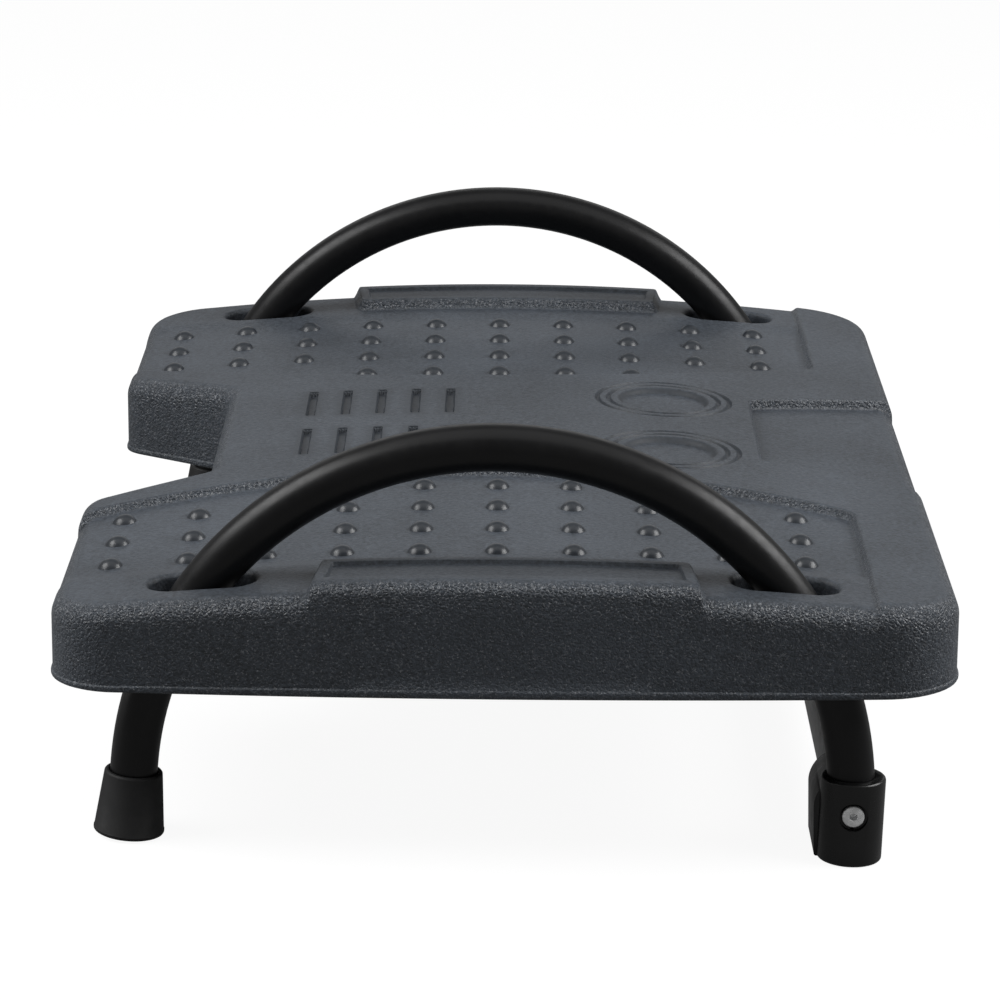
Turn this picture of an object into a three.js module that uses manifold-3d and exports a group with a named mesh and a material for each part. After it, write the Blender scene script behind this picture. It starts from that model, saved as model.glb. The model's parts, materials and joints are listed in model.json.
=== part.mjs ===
import * as THREE from 'three';
import { mergeGeometries, mergeVertices } from 'three/addons/utils/BufferGeometryUtils.js';
import Module from 'manifold-3d';

// Tilting under desk footrest: a moulded tray threaded on two bent steel tubes.
// X runs from heel to toe, Y to the user's left, Z up. The floor is z = 0.

const wasm = await Module();
wasm.setup();

const degree = Math.PI / 180;
const clearance = 0.3;              // gap between pieces that touch
const overrun = 4;                  // how far a cutter passes the face it cuts

// Bent tubes
const arcCentreX = -2.17;
const arcCentreHeight = 20.4;
const tubeInset = 30.1;             // from the tray's widest side in to a bent tube's line
const tubeDiameter = 18;
const tubeWall = 1.5;
const legLean = 3.8 * degree;       // the straight ends splay outwards
const tubeSides = 12;
const boreSides = 8;
const tubeSteps = 38;
const boreSteps = 12;

// Heel caps
const capLength = 24.2;
const capTopDiameter = 21.9;
const capFootDiameter = 26.8;
const capFloor = 3.5;
const capEdge = 1;
const turnedSides = 18;

// Toe feet
const footDiameter = 26;
const footHeight = 33;
const footEdge = 1.2;
const footShift = 0.5;              // from the end of the arc out to the foot's axis
const sleeveRadius = 13.6;          // horizontal sleeve round the cross tube
const sleeveReach = 23.5;           // from the leg to the sleeve's inner face
const sleeveDraft = 1.2;
const sleeveSteps = 5;
const crossTubeHeight = 20;
const crossTubeDiameter = 18;
const crossTubeWall = 1.5;
const crossTubeSeat = 12;           // how far the cross tube enters the foot
const crossTubeSides = 16;

// Foot screws and their threaded plugs
const footScrewShank = 5;
const footScrewHead = 8.5;
const footScrewHeadHeight = 2.8;
const footScrewLength = 35;
const footScrewKey = 3.5;
const footScrewKeyDepth = 1.8;
const footScrewKeySides = 6;
const footCounterbore = 11;
const plugLength = 20;
const plugGroove = 0.6;
const plugRings = 2;
const screwClearance = 0.5;         // round a screw's shank
const screwSides = 8;

// Tray outline
const trayLength = 339;
const trayWidth = 493;              // at the widest
const trayBulgeX = 10;              // where it is widest
const sideBow = 6.522;              // how far a side has fallen in at the heel end
const sideSteps = 5;
const trayOffset = 3.9;             // tray centre, ahead of the arc centre
const restTilt = 1.65 * degree;     // toe edge up, as the tray is left
const heelCornerRadius = 26;
const toeCornerRadius = 31;
const cornerSteps = 4;
const skirtHeight = 38.5;
const skirtWall = 3;
const skinThickness = 3.2;
const rimFillet = 7.5;
const filletSteps = 3;

// Crown of the top
const crownDrop = 7.03;             // fall of the top at crownReach from its crest
const crownCrestX = -0.9;
const crownDepth = 12;              // full crown down to this depth below the pads

// Heel notch
const notchDepth = 48;
const notchInnerWidth = 128;
const notchMouthWidth = 192;
const notchInnerRadius = 9;
const notchMouthRadius = 14;

// Raised middle, its waist and the toe border
const plateauRise = 3.5;
const stepRun = 2.6;                // width of the sloping step
const waistX = -15;
const waistSteps = 8;
const toeBorder = 31;               // from where the pads end to the toe edge
const padCornerRadius = 11;
const sideLift = 1.5;               // rise of the pads towards the two sides
const sideLiftReach = 40.5;         // from the tray's widest side to where the rise is full
const sideLiftRun = 14;
const pocketDepth = 2.6;            // hollow under the raised middle
const pocketMargin = 8;

// Toe recess
const recessInnerWidth = 77.2;
const recessMouthWidth = 144;
const recessDepth = 4.8;
const recessCornerRadius = 7;

// Ring recesses
const grooveWidth = 2.5;
const ridgeWidth = 2.3;
const grooveDepth = 1;
const dishDepth = 1.6;
const dishSlope = 4.5;
const ringSides = 16;

// Slits
const slitCount = 5;
const slitWidth = 5;
const slitLength = 40.5;
const slitRowSpacing = 62.5;
const slitDepth = 1.4;
const slitEndSteps = 2;

// Massage domes
const domeColumns = 10;
const domeDiameter = 8.6;
const domeHeight = 2.3;
const domeShoulder = 1.5;
const domeSides = 7;
const outerColumnRows = 3;
const middleColumnRows = 4;
const middleColumns = [3, 4, 5, 6, 7];

// Side rails
const railReach = 32;               // from the tray's widest side to a rail's inner edge
const railRise = 5.2;
const railFillet = 5.5;
const railRun = 4;
const railChannelInset = 5;
const railChannelDepth = 1;

// Tube slots
const slotInnerPlay = 2.86;         // free length between the tube and a slot's inner end
const slotOuterPlay = 6.18;         // and its outer end
const slotWidth = 20;
const slotEndSteps = 5;
const slotLip = 1.2;                // chamfer round the slot
const wellWall = 2.5;
const wellDepth = 11.5;

// Underside ribs
const ribThickness = 2.2;
const ribDepth = 19;
const ribInset = 24.4;              // from a bent tube's line in to the outermost rib
const crossRibCount = 7;
const longRibCount = 5;

// Tube guides under the slots, with their liners and screws
const guideReach = 22.82;           // round the arc, from the flange down to the guide's end
const guideLead = 20.93;            // and up past the flange, where it is cut level
const guideSteps = 4;
const guideWall = 2;
const guideLip = 1.5;
const linerGap = 0.45;
const linerThickness = 1.5;
const flangeDrop = 18;              // from the pads down to the flange's top
const flangeThickness = 4;
const flangeLength = 33;
const flangeRadius = 5;
const flangeSteps = 2;
const guideScrewSpacing = 35;
const guideScrewShank = 3.6;
const guideScrewHead = 7.4;
const guideScrewHeadHeight = 2.4;
const guideScrewLength = 13;
const bossDiameter = 8;
const bossHole = 10;

// Shares of the tray's length
const arcRadiusShare = 0.399705;    // of the bent tubes' centreline
const padRiseShare = 0.2536873;     // pad surface above the arc centre
const crownReachShare = 0.4336283;
const waistRadiusShare = 0.920354;
const recessInnerXShare = 0.3067847;
const ringXShare = 0.199115;
const ringRadiusShare = 0.0879056;
const slitPitchShare = 0.0436578;
const slitFirstXShare = -0.2442478;
const domePitchShare = 0.0867257;
const domeFirstXShare = -0.4421829;
const railLengthShare = 0.4247788;
const crossRibPitchShare = 0.1415929;

// Shares of its width
const waistWidthShare = 0.306288;
const ringSpacingShare = 0.1667343;
const domeRowYShare = 0.3762677;
const domeRowPitchShare = 0.0614604;

const trayPlastic = { color: 0x3b3e43, roughness: 0.55, metalness: 0 };
const tubeBlack = { color: 0x101010, roughness: 0.38, metalness: 0.2 };
const rubberBlack = { color: 0x121212, roughness: 0.8, metalness: 0 };
const footBlack = { color: 0x0d0d0d, roughness: 0.35, metalness: 0 };
const tubeGrey = { color: 0xb9bbbd, roughness: 0.35, metalness: 0.6 };
const zinc = { color: 0xc9cbcc, roughness: 0.3, metalness: 0.9 };
const guideGrey = { color: 0x2a2c2f, roughness: 0.5, metalness: 0 };
const linerFelt = { color: 0x55585c, roughness: 0.95, metalness: 0 };

// Sizes worked out from those above
const arcRadius = trayLength * arcRadiusShare;
const padRise = trayLength * padRiseShare;
const crownReach = trayLength * crownReachShare;
const waistRadius = trayLength * waistRadiusShare;
const recessInnerX = trayLength * recessInnerXShare;
const ringX = trayLength * ringXShare;
const ringRadius = trayLength * ringRadiusShare;
const slitPitch = trayLength * slitPitchShare;
const slitFirstX = trayLength * slitFirstXShare;
const domePitch = trayLength * domePitchShare;
const domeFirstX = trayLength * domeFirstXShare;
const railLength = trayLength * railLengthShare;
const crossRibPitch = trayLength * crossRibPitchShare;
const waistWidth = trayWidth * waistWidthShare;
const ringSpacing = trayWidth * ringSpacingShare;
const domeRowY = trayWidth * domeRowYShare;
const domeRowPitch = trayWidth * domeRowPitchShare;
const arcSpacing = trayWidth - 2 * tubeInset;
const padToeX = trayLength / 2 - toeBorder;
const railInnerY = trayWidth / 2 - railReach;
const sideLiftEnd = trayWidth / 2 - sideLiftReach;
const footSplay = arcRadius + footShift;
const tubeRadius = tubeDiameter / 2;
const arcHalf = arcRadius * (Math.PI / 2 - legLean);
const capFootRadius = capFootDiameter / 2;
const capFootHeight = (capFootRadius - capEdge) * Math.sin(legLean);
const tailDrop = arcRadius * Math.sin(legLean) + arcCentreHeight - capFootHeight;
const tailLength = tailDrop / Math.cos(legLean);
const legEnd = arcHalf + tailLength - capFloor - clearance;
const crossDrop = crossTubeHeight - arcCentreHeight;
const crossX = legPoint(arcHalf + (arcRadius * Math.sin(legLean) - crossDrop) / Math.cos(legLean)).x;
const linerRadius = tubeRadius + linerGap + linerThickness;
const guideBore = linerRadius + clearance;
const guideRadius = guideBore + guideWall;
const flangeTop = padRise - flangeDrop;
const flangeX = acrossArc(arcRadius, flangeTop - flangeThickness / 2);
const flangeArc = Math.asin(flangeX / arcRadius) * arcRadius;
const slotNear = acrossArc(arcRadius - tubeRadius, padRise + sideLift) - slotInnerPlay;
const slotFar = acrossArc(arcRadius + tubeRadius, padRise - wellDepth) + slotOuterPlay;
const slotX = (slotNear + slotFar) / 2;
const ribReach = arcSpacing / 2 - ribInset;

// How far out a circle round the arc centre is at a height above it
function acrossArc(radius, height) {
  return Math.sqrt(radius ** 2 - height ** 2);
}

// Solids and meshes

function toSolid(geometry) {
  const bare = geometry.clone();
  bare.deleteAttribute('normal');
  bare.deleteAttribute('uv');
  const merged = mergeVertices(bare);
  const corners = merged.index.array;
  const faces = [];
  for (let i = 0; i < corners.length; i += 3) {
    const face = [...corners.slice(i, i + 3)];
    if (new Set(face).size === 3) faces.push(...face);
  }
  const vertProperties = new Float32Array(merged.attributes.position.array);
  const triVerts = new Uint32Array(faces);
  return new wasm.Manifold(new wasm.Mesh({ numProp: 3, vertProperties, triVerts }));
}

function toGeometry(solid) {
  const mesh = solid.getMesh();
  const geometry = new THREE.BufferGeometry();
  geometry.setAttribute('position', new THREE.BufferAttribute(new Float32Array(mesh.vertProperties), 3));
  geometry.setIndex(new THREE.BufferAttribute(new Uint32Array(mesh.triVerts), 1));
  geometry.computeVertexNormals();
  return geometry;
}

function joined(solids) {
  return solids.reduce((whole, next) => whole.add(next));
}

function bothSides(make) {
  return [1, -1].map(make);
}

function box(x, y, low, high, width, depth) {
  return toSolid(new THREE.BoxGeometry(width, depth, high - low).translate(x, y, (low + high) / 2));
}

// A turned shape about Z from pairs of radius and height, upwards on the outside
function turned(profile, sides) {
  const points = profile.map(([radius, height]) => new THREE.Vector2(radius, height));
  return new THREE.LatheGeometry(points, sides).rotateX(Math.PI / 2);
}

function cylinder(radius, low, high, sides) {
  return turned([[0, low], [radius, low], [radius, high], [0, high]], sides);
}

// Plan outlines, counterclockwise

function arcPoints(x, y, radius, from, to, steps) {
  return Array.from({ length: steps + 1 }, (_, step) => {
    const angle = THREE.MathUtils.lerp(from, to, step / steps);
    return new THREE.Vector2(x + radius * Math.cos(angle), y + radius * Math.sin(angle));
  });
}

function polygon(radius, sides) {
  return arcPoints(0, 0, radius, 0, 2 * Math.PI, sides).slice(0, sides);
}

function stadium(fromX, toX, y, width, steps) {
  const radius = width / 2;
  return [
    ...arcPoints(toX - radius, y, radius, -Math.PI / 2, Math.PI / 2, steps),
    ...arcPoints(fromX + radius, y, radius, Math.PI / 2, 1.5 * Math.PI, steps),
  ];
}

function rectangle(fromX, toX, fromY, toY) {
  return [[fromX, fromY], [toX, fromY], [toX, toY], [fromX, toY]].map(([x, y]) => new THREE.Vector2(x, y));
}

function mirrored(points, side) {
  if (side > 0) return points;
  return points.map((point) => new THREE.Vector2(point.x, -point.y)).reverse();
}

// Corners with a radius are rounded in a few steps, the others stay as points.
function roundedOutline(corners) {
  return corners.flatMap(({ x, y, radius, steps }, i) => {
    const here = new THREE.Vector2(x, y);
    if (!radius) return [here];
    const before = corners[(i + corners.length - 1) % corners.length];
    const after = corners[(i + 1) % corners.length];
    const back = new THREE.Vector2(before.x, before.y).sub(here).normalize();
    const on = new THREE.Vector2(after.x, after.y).sub(here).normalize();
    const half = Math.acos(back.dot(on)) / 2;
    const centre = back.clone().add(on).normalize().multiplyScalar(radius / Math.sin(half)).add(here);
    const start = here.clone().addScaledVector(back, radius / Math.tan(half));
    const turn = -Math.sign(back.cross(on)) * (Math.PI - 2 * half);
    return Array.from({ length: steps + 1 }, (_, step) => {
      return start.clone().rotateAround(centre, (turn * step) / steps);
    });
  });
}

// The same outline moved inwards, each point along the mean of its edges' normals.
function inset(points, distance) {
  return points.map((point, i) => {
    const before = points[(i + points.length - 1) % points.length];
    const after = points[(i + 1) % points.length];
    const edgeIn = point.clone().sub(before).normalize();
    const edgeOut = after.clone().sub(point).normalize();
    const normalIn = new THREE.Vector2(-edgeIn.y, edgeIn.x);
    const normalOut = new THREE.Vector2(-edgeOut.y, edgeOut.x);
    const mean = normalIn.clone().add(normalOut).normalize();
    return point.clone().addScaledVector(mean, distance / mean.dot(normalIn));
  });
}

// A closed body through outlines of equal point count, lowest first.
function lofted(levels) {
  const count = levels[0].points.length;
  const positions = levels.flatMap(({ points, z }) => points.flatMap((point) => [point.x, point.y, z]));
  const index = [];
  for (let level = 0; level < levels.length - 1; level++) {
    for (let i = 0; i < count; i++) {
      const a = level * count + i;
      const b = level * count + ((i + 1) % count);
      index.push(a, b, b + count, a, b + count, a + count);
    }
  }
  const top = (levels.length - 1) * count;
  const bottomFaces = THREE.ShapeUtils.triangulateShape(levels[0].points, []);
  const topFaces = THREE.ShapeUtils.triangulateShape(levels[levels.length - 1].points, []);
  bottomFaces.forEach(([a, b, c]) => index.push(c, b, a));
  topFaces.forEach(([a, b, c]) => index.push(top + a, top + b, top + c));
  const geometry = new THREE.BufferGeometry();
  geometry.setAttribute('position', new THREE.Float32BufferAttribute(positions, 3));
  geometry.setIndex(index);
  return toSolid(geometry);
}

function prism(points, low, high) {
  return lofted([{ points, z: low }, { points, z: high }]);
}

// The outline is true at z = high and has moved in by run at z = low; both ends pass by overrun.
function sloped(points, low, high, run) {
  const beyond = (run * overrun) / (high - low);
  return lofted([
    { points: inset(points, run + beyond), z: low - overrun },
    { points: inset(points, -beyond), z: high + overrun },
  ]);
}

// A cutter with a flat floor, whose sides have moved in by run at the floor
function pocket(points, floor, high, run) {
  const beyond = (run * overrun) / (high - floor);
  return lofted([
    { points: inset(points, run), z: floor },
    { points: inset(points, -beyond), z: high + overrun },
  ]);
}

// Bent tube path. The length along it counts from the top of the arc.

function legPoint(length) {
  const bent = Math.min(Math.abs(length), arcHalf) / arcRadius;
  const straight = Math.max(Math.abs(length) - arcHalf, 0);
  const x = arcRadius * Math.sin(bent) + straight * Math.sin(legLean);
  const z = arcRadius * Math.cos(bent) - straight * Math.cos(legLean);
  return new THREE.Vector3(Math.sign(length) * x, 0, z);
}

class LegPath extends THREE.Curve {
  constructor(from, to) {
    super();
    this.from = from;
    this.to = to;
  }

  getPoint(share, target = new THREE.Vector3()) {
    return target.copy(legPoint(THREE.MathUtils.lerp(this.from, this.to, share)));
  }
}

function alongLeg(radius, from, to, sides, steps) {
  const section = new THREE.Shape(polygon(radius, sides));
  const extrudePath = new LegPath(from, to);
  return toSolid(new THREE.ExtrudeGeometry(section, { steps, extrudePath, bevelEnabled: false }));
}

function footScrewHole(length) {
  return cylinder(footScrewShank / 2 + screwClearance, -length, length, screwSides);
}

function arcTube() {
  const tube = alongLeg(tubeRadius, -legEnd, legEnd, tubeSides, tubeSteps);
  const bore = alongLeg(tubeRadius - tubeWall, -legEnd - overrun, legEnd + overrun, boreSides, boreSteps);
  const hole = footScrewHole(tubeDiameter).rotateX(Math.PI / 2).translate(crossX, 0, crossDrop);
  return toGeometry(tube.subtract(bore).subtract(toSolid(hole)));
}

// The lowest end of a leg, in line with it, standing on one edge of its foot
function onLegEnd(geometry, end) {
  const foot = legPoint(arcHalf + tailLength);
  return geometry.rotateY(-end * legLean).translate(end * foot.x, 0, foot.z);
}

function heelCap() {
  const boreRadius = tubeRadius + clearance;
  const topRadius = capTopDiameter / 2;
  const cap = turned([
    [0, 0],
    [capFootRadius - capEdge, 0],
    [capFootRadius, capEdge],
    [topRadius, capLength - capEdge],
    [topRadius - capEdge / 2, capLength],
    [boreRadius, capLength],
    [boreRadius, capFloor],
    [0, capFloor],
  ], turnedSides);
  return toGeometry(toSolid(onLegEnd(cap, -1)));
}

// Turned shapes laid level, from the leg inwards along +Y at the cross tube's height
function level(geometry) {
  return toSolid(geometry.rotateX(-Math.PI / 2).translate(crossX, 0, crossDrop));
}

// On the left side inwards is -Y, so the pieces there are mirror images.
function facing(geometry, side) {
  if (side < 0) return geometry;
  const flipped = geometry.clone().scale(1, -1, 1);
  flipped.setIndex([...flipped.index.array].reverse());
  flipped.computeVertexNormals();
  return flipped;
}

function footShell() {
  const radius = footDiameter / 2;
  const post = turned([
    [0, 0],
    [radius - footEdge, 0],
    [radius, footEdge],
    [radius, footHeight - footEdge],
    [radius - footEdge, footHeight],
    [0, footHeight],
  ], turnedSides).translate(footSplay, 0, -arcCentreHeight);
  const arch = new THREE.Shape();
  arch.moveTo(sleeveDraft - sleeveRadius, -crossTubeHeight);
  arch.lineTo(sleeveRadius - sleeveDraft, -crossTubeHeight);
  arch.lineTo(sleeveRadius, 0);
  arch.absarc(0, 0, sleeveRadius, 0, Math.PI, false);
  const options = { depth: sleeveReach, bevelEnabled: false, curveSegments: sleeveSteps };
  const sleeve = new THREE.ExtrudeGeometry(arch, options);
  sleeve.rotateX(Math.PI / 2).translate(crossX, sleeveReach, crossDrop);
  return toSolid(post).add(toSolid(sleeve));
}

function toeFoot(side) {
  const legBore = onLegEnd(cylinder(tubeRadius + clearance, capFloor, footHeight + overrun, turnedSides), 1);
  const seat = sleeveReach - crossTubeSeat - clearance;
  const cuts = [
    cylinder(crossTubeDiameter / 2 + clearance, seat, sleeveReach + overrun, turnedSides),
    footScrewHole(footDiameter),
    cylinder(footCounterbore / 2, -footDiameter, -tubeRadius, screwSides),
  ];
  const foot = footShell().subtract(joined([toSolid(legBore), ...cuts.map(level)]));
  return facing(toGeometry(foot), side);
}

function footScrew(side) {
  const shank = footScrewShank / 2;
  const head = footScrewHead / 2;
  const seat = -tubeRadius - clearance;
  const crown = seat - footScrewHeadHeight;
  const screw = turned([
    [0, crown],
    [head, crown],
    [head, seat],
    [shank, seat],
    [shank, seat + footScrewLength],
    [0, seat + footScrewLength],
  ], screwSides);
  const key = cylinder(footScrewKey / 2, crown - overrun, crown + footScrewKeyDepth, footScrewKeySides);
  return facing(toGeometry(level(screw).subtract(level(key))), side);
}

function tubePlug(side) {
  const outer = crossTubeDiameter / 2 - crossTubeWall - clearance;
  const start = sleeveReach - crossTubeSeat;
  const pitch = plugLength / plugRings;
  const rings = Array.from({ length: plugRings }, (_, i) => start + i * pitch).flatMap((low) => [
    [outer - plugGroove, low],
    [outer, low + plugGroove],
    [outer, low + pitch / 2],
    [outer - plugGroove, low + pitch / 2 + plugGroove],
  ]);
  const end = start + plugLength;
  const plug = turned([[0, start], ...rings, [outer - plugGroove, end], [0, end]], screwSides);
  return facing(toGeometry(level(plug).subtract(level(footScrewHole(end + overrun)))), side);
}

function crossTube() {
  const half = arcSpacing / 2 - sleeveReach + crossTubeSeat;
  const outer = crossTubeDiameter / 2;
  const inner = outer - crossTubeWall;
  const profile = [[inner, -half], [outer, -half], [outer, half], [inner, half], [inner, -half]];
  return toGeometry(level(turned(profile, crossTubeSides)));
}

// Tray, modelled flat in its own frame with the pads at z = 0

function sideY(x) {
  return trayWidth / 2 - sideBow * ((x - trayBulgeX) / (trayLength / 2 + trayBulgeX)) ** 2;
}

function trayOutline() {
  const end = trayLength / 2;
  const from = heelCornerRadius - end + overrun;
  const to = end - toeCornerRadius - overrun;
  const side = Array.from({ length: sideSteps + 1 }, (_, i) => THREE.MathUtils.lerp(from, to, i / sideSteps));
  const heel = { y: sideY(-end), radius: heelCornerRadius, steps: cornerSteps };
  const toe = { y: sideY(end), radius: toeCornerRadius, steps: cornerSteps };
  const mouth = { y: notchMouthWidth / 2, radius: notchMouthRadius, steps: cornerSteps };
  const inner = { y: notchInnerWidth / 2, radius: notchInnerRadius, steps: cornerSteps };
  return roundedOutline([
    ...side.map((x) => ({ x, y: -sideY(x) })),
    { ...toe, x: end, y: -toe.y },
    { ...toe, x: end },
    ...side.reverse().map((x) => ({ x, y: sideY(x) })),
    { ...heel, x: -end },
    { ...mouth, x: -end },
    { ...inner, x: notchDepth - end },
    { ...inner, x: notchDepth - end, y: -inner.y },
    { ...mouth, x: -end, y: -mouth.y },
    { ...heel, x: -end, y: -heel.y },
  ]);
}

const outline = trayOutline();

// The whole tray as one filled block up to a given height, with its rolled rim
function trayBlock(top, fillet) {
  const rim = Array.from({ length: filletSteps + 1 }, (_, step) => {
    const angle = (Math.PI / 2) * (step / filletSteps);
    const points = inset(outline, fillet * (1 - Math.cos(angle)));
    return { points, z: top - fillet * (1 - Math.sin(angle)) };
  });
  return lofted([{ points: outline, z: -skirtHeight }, ...rim]);
}

function waistY(x) {
  return waistWidth / 2 + waistRadius - Math.sqrt(waistRadius ** 2 - (x - waistX) ** 2);
}

// Sunken area for one foot, open to the heel and to the side
function padRegion(side) {
  const heelX = -trayLength / 2 - overrun;
  const reach = trayWidth / 2 + overrun * 2;
  const curve = Array.from({ length: waistSteps }, (_, i) => {
    const x = THREE.MathUtils.lerp(heelX, padToeX - padCornerRadius * 2, i / (waistSteps - 1));
    return { x, y: waistY(x) };
  });
  const corner = { x: padToeX, y: waistY(padToeX), radius: padCornerRadius, steps: cornerSteps };
  const points = roundedOutline([...curve, corner, { x: padToeX, y: reach }, { x: heelX, y: reach }]);
  return sloped(mirrored(points, side), 0, plateauRise, stepRun);
}

function raisedTop() {
  const lift = bothSides((side) => {
    const band = mirrored(rectangle(-trayLength, trayLength, sideLiftEnd, trayWidth), side);
    return sloped(band, 0, sideLift, -sideLiftRun);
  });
  const plateau = trayBlock(plateauRise, rimFillet).subtract(joined(bothSides(padRegion)));
  return trayBlock(0, rimFillet).add(trayBlock(sideLift, rimFillet).intersect(joined(lift))).add(plateau);
}

function sideRails() {
  const half = railLength / 2;
  const rails = bothSides((side) => {
    const crest = mirrored(rectangle(-half, half, railInnerY, trayWidth), side);
    return sloped(crest, sideLift, railRise, -railRun);
  });
  const channels = bothSides((side) => {
    const innerY = railInnerY + railChannelInset;
    const outerY = sideY(half) - railFillet - railChannelInset;
    const mouth = mirrored(rectangle(railChannelInset - half, half - railChannelInset, innerY, outerY), side);
    return pocket(mouth, railRise - railChannelDepth, railRise, railChannelDepth);
  });
  return trayBlock(railRise, railFillet).intersect(joined(rails)).subtract(joined(channels));
}

function recessRegion() {
  const outerX = trayLength / 2 + overrun;
  const inner = { x: recessInnerX, radius: recessCornerRadius, steps: cornerSteps };
  const points = roundedOutline([
    { ...inner, y: -recessInnerWidth / 2 },
    { x: outerX, y: -recessMouthWidth / 2 },
    { x: outerX, y: recessMouthWidth / 2 },
    { ...inner, y: recessInnerWidth / 2 },
  ]);
  return sloped(points, plateauRise - recessDepth, plateauRise, stepRun);
}

// A sunken dish with two grooves round it
function ringCuts(side) {
  const cut = (profile) => {
    return toSolid(turned(profile, ringSides).translate(ringX, (side * ringSpacing) / 2, plateauRise));
  };
  const groove = (outer) => {
    const inner = outer - grooveWidth;
    const floor = [[inner, -grooveDepth], [outer, -grooveDepth]];
    return cut([...floor, [outer, overrun], [inner, overrun], floor[0]]);
  };
  const dish = ringRadius - 2 * (grooveWidth + ridgeWidth);
  return joined([
    groove(ringRadius),
    groove(ringRadius - grooveWidth - ridgeWidth),
    cut([[0, -dishDepth], [dish - dishSlope, -dishDepth], [dish, 0], [dish, overrun], [0, overrun]]),
  ]);
}

function slitCuts() {
  const flat = stadium(-slitLength / 2, slitLength / 2, 0, slitWidth, slitEndSteps);
  const slits = bothSides((side) => Array.from({ length: slitCount }, (_, i) => {
    const x = slitFirstX + i * slitPitch;
    const y = (side * slitRowSpacing) / 2;
    const points = flat.map((point) => new THREE.Vector2(x - point.y, y + point.x));
    return prism(points, plateauRise - slitDepth, plateauRise + overrun);
  }));
  return joined(slits.flat());
}

function domes() {
  const radius = domeDiameter / 2;
  const shoulder = radius * Math.sqrt(1 - (domeShoulder / domeHeight) ** 2);
  const sink = -skinThickness / 2;
  const profile = [[0, sink], [radius, sink], [radius, 0], [shoulder, domeShoulder], [0, domeHeight]];
  const all = [];
  for (let column = 0; column < domeColumns; column++) {
    const rows = middleColumns.includes(column) ? middleColumnRows : outerColumnRows;
    for (let row = 0; row < rows; row++) {
      const x = domeFirstX + column * domePitch;
      const y = domeRowY - row * domeRowPitch;
      all.push(...bothSides((side) => turned(profile, domeSides).translate(x, side * y, 0)));
    }
  }
  return toSolid(mergeGeometries(all));
}

function eachSlot(make) {
  return bothSides((end) => bothSides((side) => make(end, side))).flat();
}

function slotOutline(end, side, growth) {
  const centre = end * slotX - trayOffset;
  const half = (slotFar - slotNear) / 2 + growth;
  return stadium(centre - half, centre + half, (side * arcSpacing) / 2, slotWidth + growth * 2, slotEndSteps);
}

function slotCuts() {
  const lipTop = sideLift + overrun;
  const lipFoot = sideLift - slotLip - overrun;
  return joined(eachSlot((end, side) => {
    const hole = prism(slotOutline(end, side, 0), -skirtHeight, lipTop);
    const chamfer = lofted([
      { points: slotOutline(end, side, -overrun), z: lipFoot },
      { points: slotOutline(end, side, slotLip + overrun), z: lipTop },
    ]);
    return hole.add(chamfer);
  }));
}

// Everything hollow below the skin, less the ribs and the wells round the slots
function underside() {
  const top = -skinThickness;
  const shell = lofted([
    { points: inset(outline, skirtWall), z: -skirtHeight - overrun },
    { points: inset(outline, skirtWall), z: top - skirtWall },
    { points: inset(outline, skirtWall * 2), z: top },
  ]);
  const from = notchDepth - trayLength / 2 + pocketMargin;
  const to = recessInnerX - pocketMargin;
  const half = waistWidth / 2 - pocketMargin;
  const hollow = prism(rectangle(from, to, -half, half), top - overrun, top + pocketDepth);
  const ribFoot = top - ribDepth;
  const longRibs = Array.from({ length: longRibCount }, (_, i) => {
    const y = THREE.MathUtils.lerp(-ribReach, ribReach, i / (longRibCount - 1));
    return box(0, y, ribFoot, overrun, trayLength, ribThickness);
  });
  const crossRibs = Array.from({ length: crossRibCount }, (_, i) => {
    const x = (i - (crossRibCount - 1) / 2) * crossRibPitch;
    return box(x, 0, ribFoot, overrun, ribThickness, ribReach * 2);
  });
  const wells = eachSlot((end, side) => prism(slotOutline(end, side, wellWall), -wellDepth, overrun));
  return shell.add(hollow).subtract(joined([...longRibs, ...crossRibs, ...wells]));
}

function flatTray() {
  const recessFloor = trayBlock(plateauRise - recessDepth, rimFillet);
  const top = raisedTop().add(sideRails()).subtract(recessRegion()).add(recessFloor).add(domes());
  return top.subtract(joined([slotCuts(), slitCuts(), ...bothSides(ringCuts), underside()]));
}

// How far the top falls away from its crest, fading out to the foot of the skirt
function crownFall(x, z) {
  const fade = THREE.MathUtils.clamp((z + skirtHeight) / (skirtHeight - crownDepth), 0, 1);
  return crownDrop * ((x - crownCrestX) / crownReach) ** 2 * fade;
}

// The top bends in flat stretches, one for each column of domes.
function crowned(flat) {
  const stations = Array.from({ length: domeColumns - 1 }, (_, i) => domeFirstX + (i + 0.5) * domePitch);
  const slabs = [-trayLength, ...stations].map((from, i) => {
    const to = stations[i] ?? trayLength;
    const slice = prism(rectangle(from, to, -trayWidth, trayWidth), -trayLength, trayLength);
    const slab = toGeometry(flat.intersect(slice));
    const place = slab.attributes.position;
    for (let corner = 0; corner < place.count; corner++) {
      const fall = crownFall(place.getX(corner), place.getZ(corner));
      place.setZ(corner, place.getZ(corner) - fall);
    }
    return toSolid(slab);
  });
  return joined(slabs);
}

// Bosses that the guide screws bite into, hanging from the skin
function screwBosses() {
  return joined(eachSlot((end, side) => joined(bothSides((half) => {
    const x = end * flangeX - trayOffset;
    const y = (side * arcSpacing + half * guideScrewSpacing) / 2;
    const low = flangeTop + clearance - padRise;
    const high = -crownFall(x, 0) - skinThickness / 2;
    const boss = cylinder(bossDiameter / 2, low, high, screwSides).translate(x, y, 0);
    const hole = cylinder(guideScrewShank / 2 + clearance, low - overrun, low + bossHole, screwSides);
    return toSolid(boss).subtract(toSolid(hole.translate(x, y, 0)));
  }))));
}

function tray() {
  return toGeometry(crowned(flatTray()).add(screwBosses())).translate(trayOffset, 0, padRise);
}

// Guides and liners follow the arc at the toe end; those at the heel end are turned half round.

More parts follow.
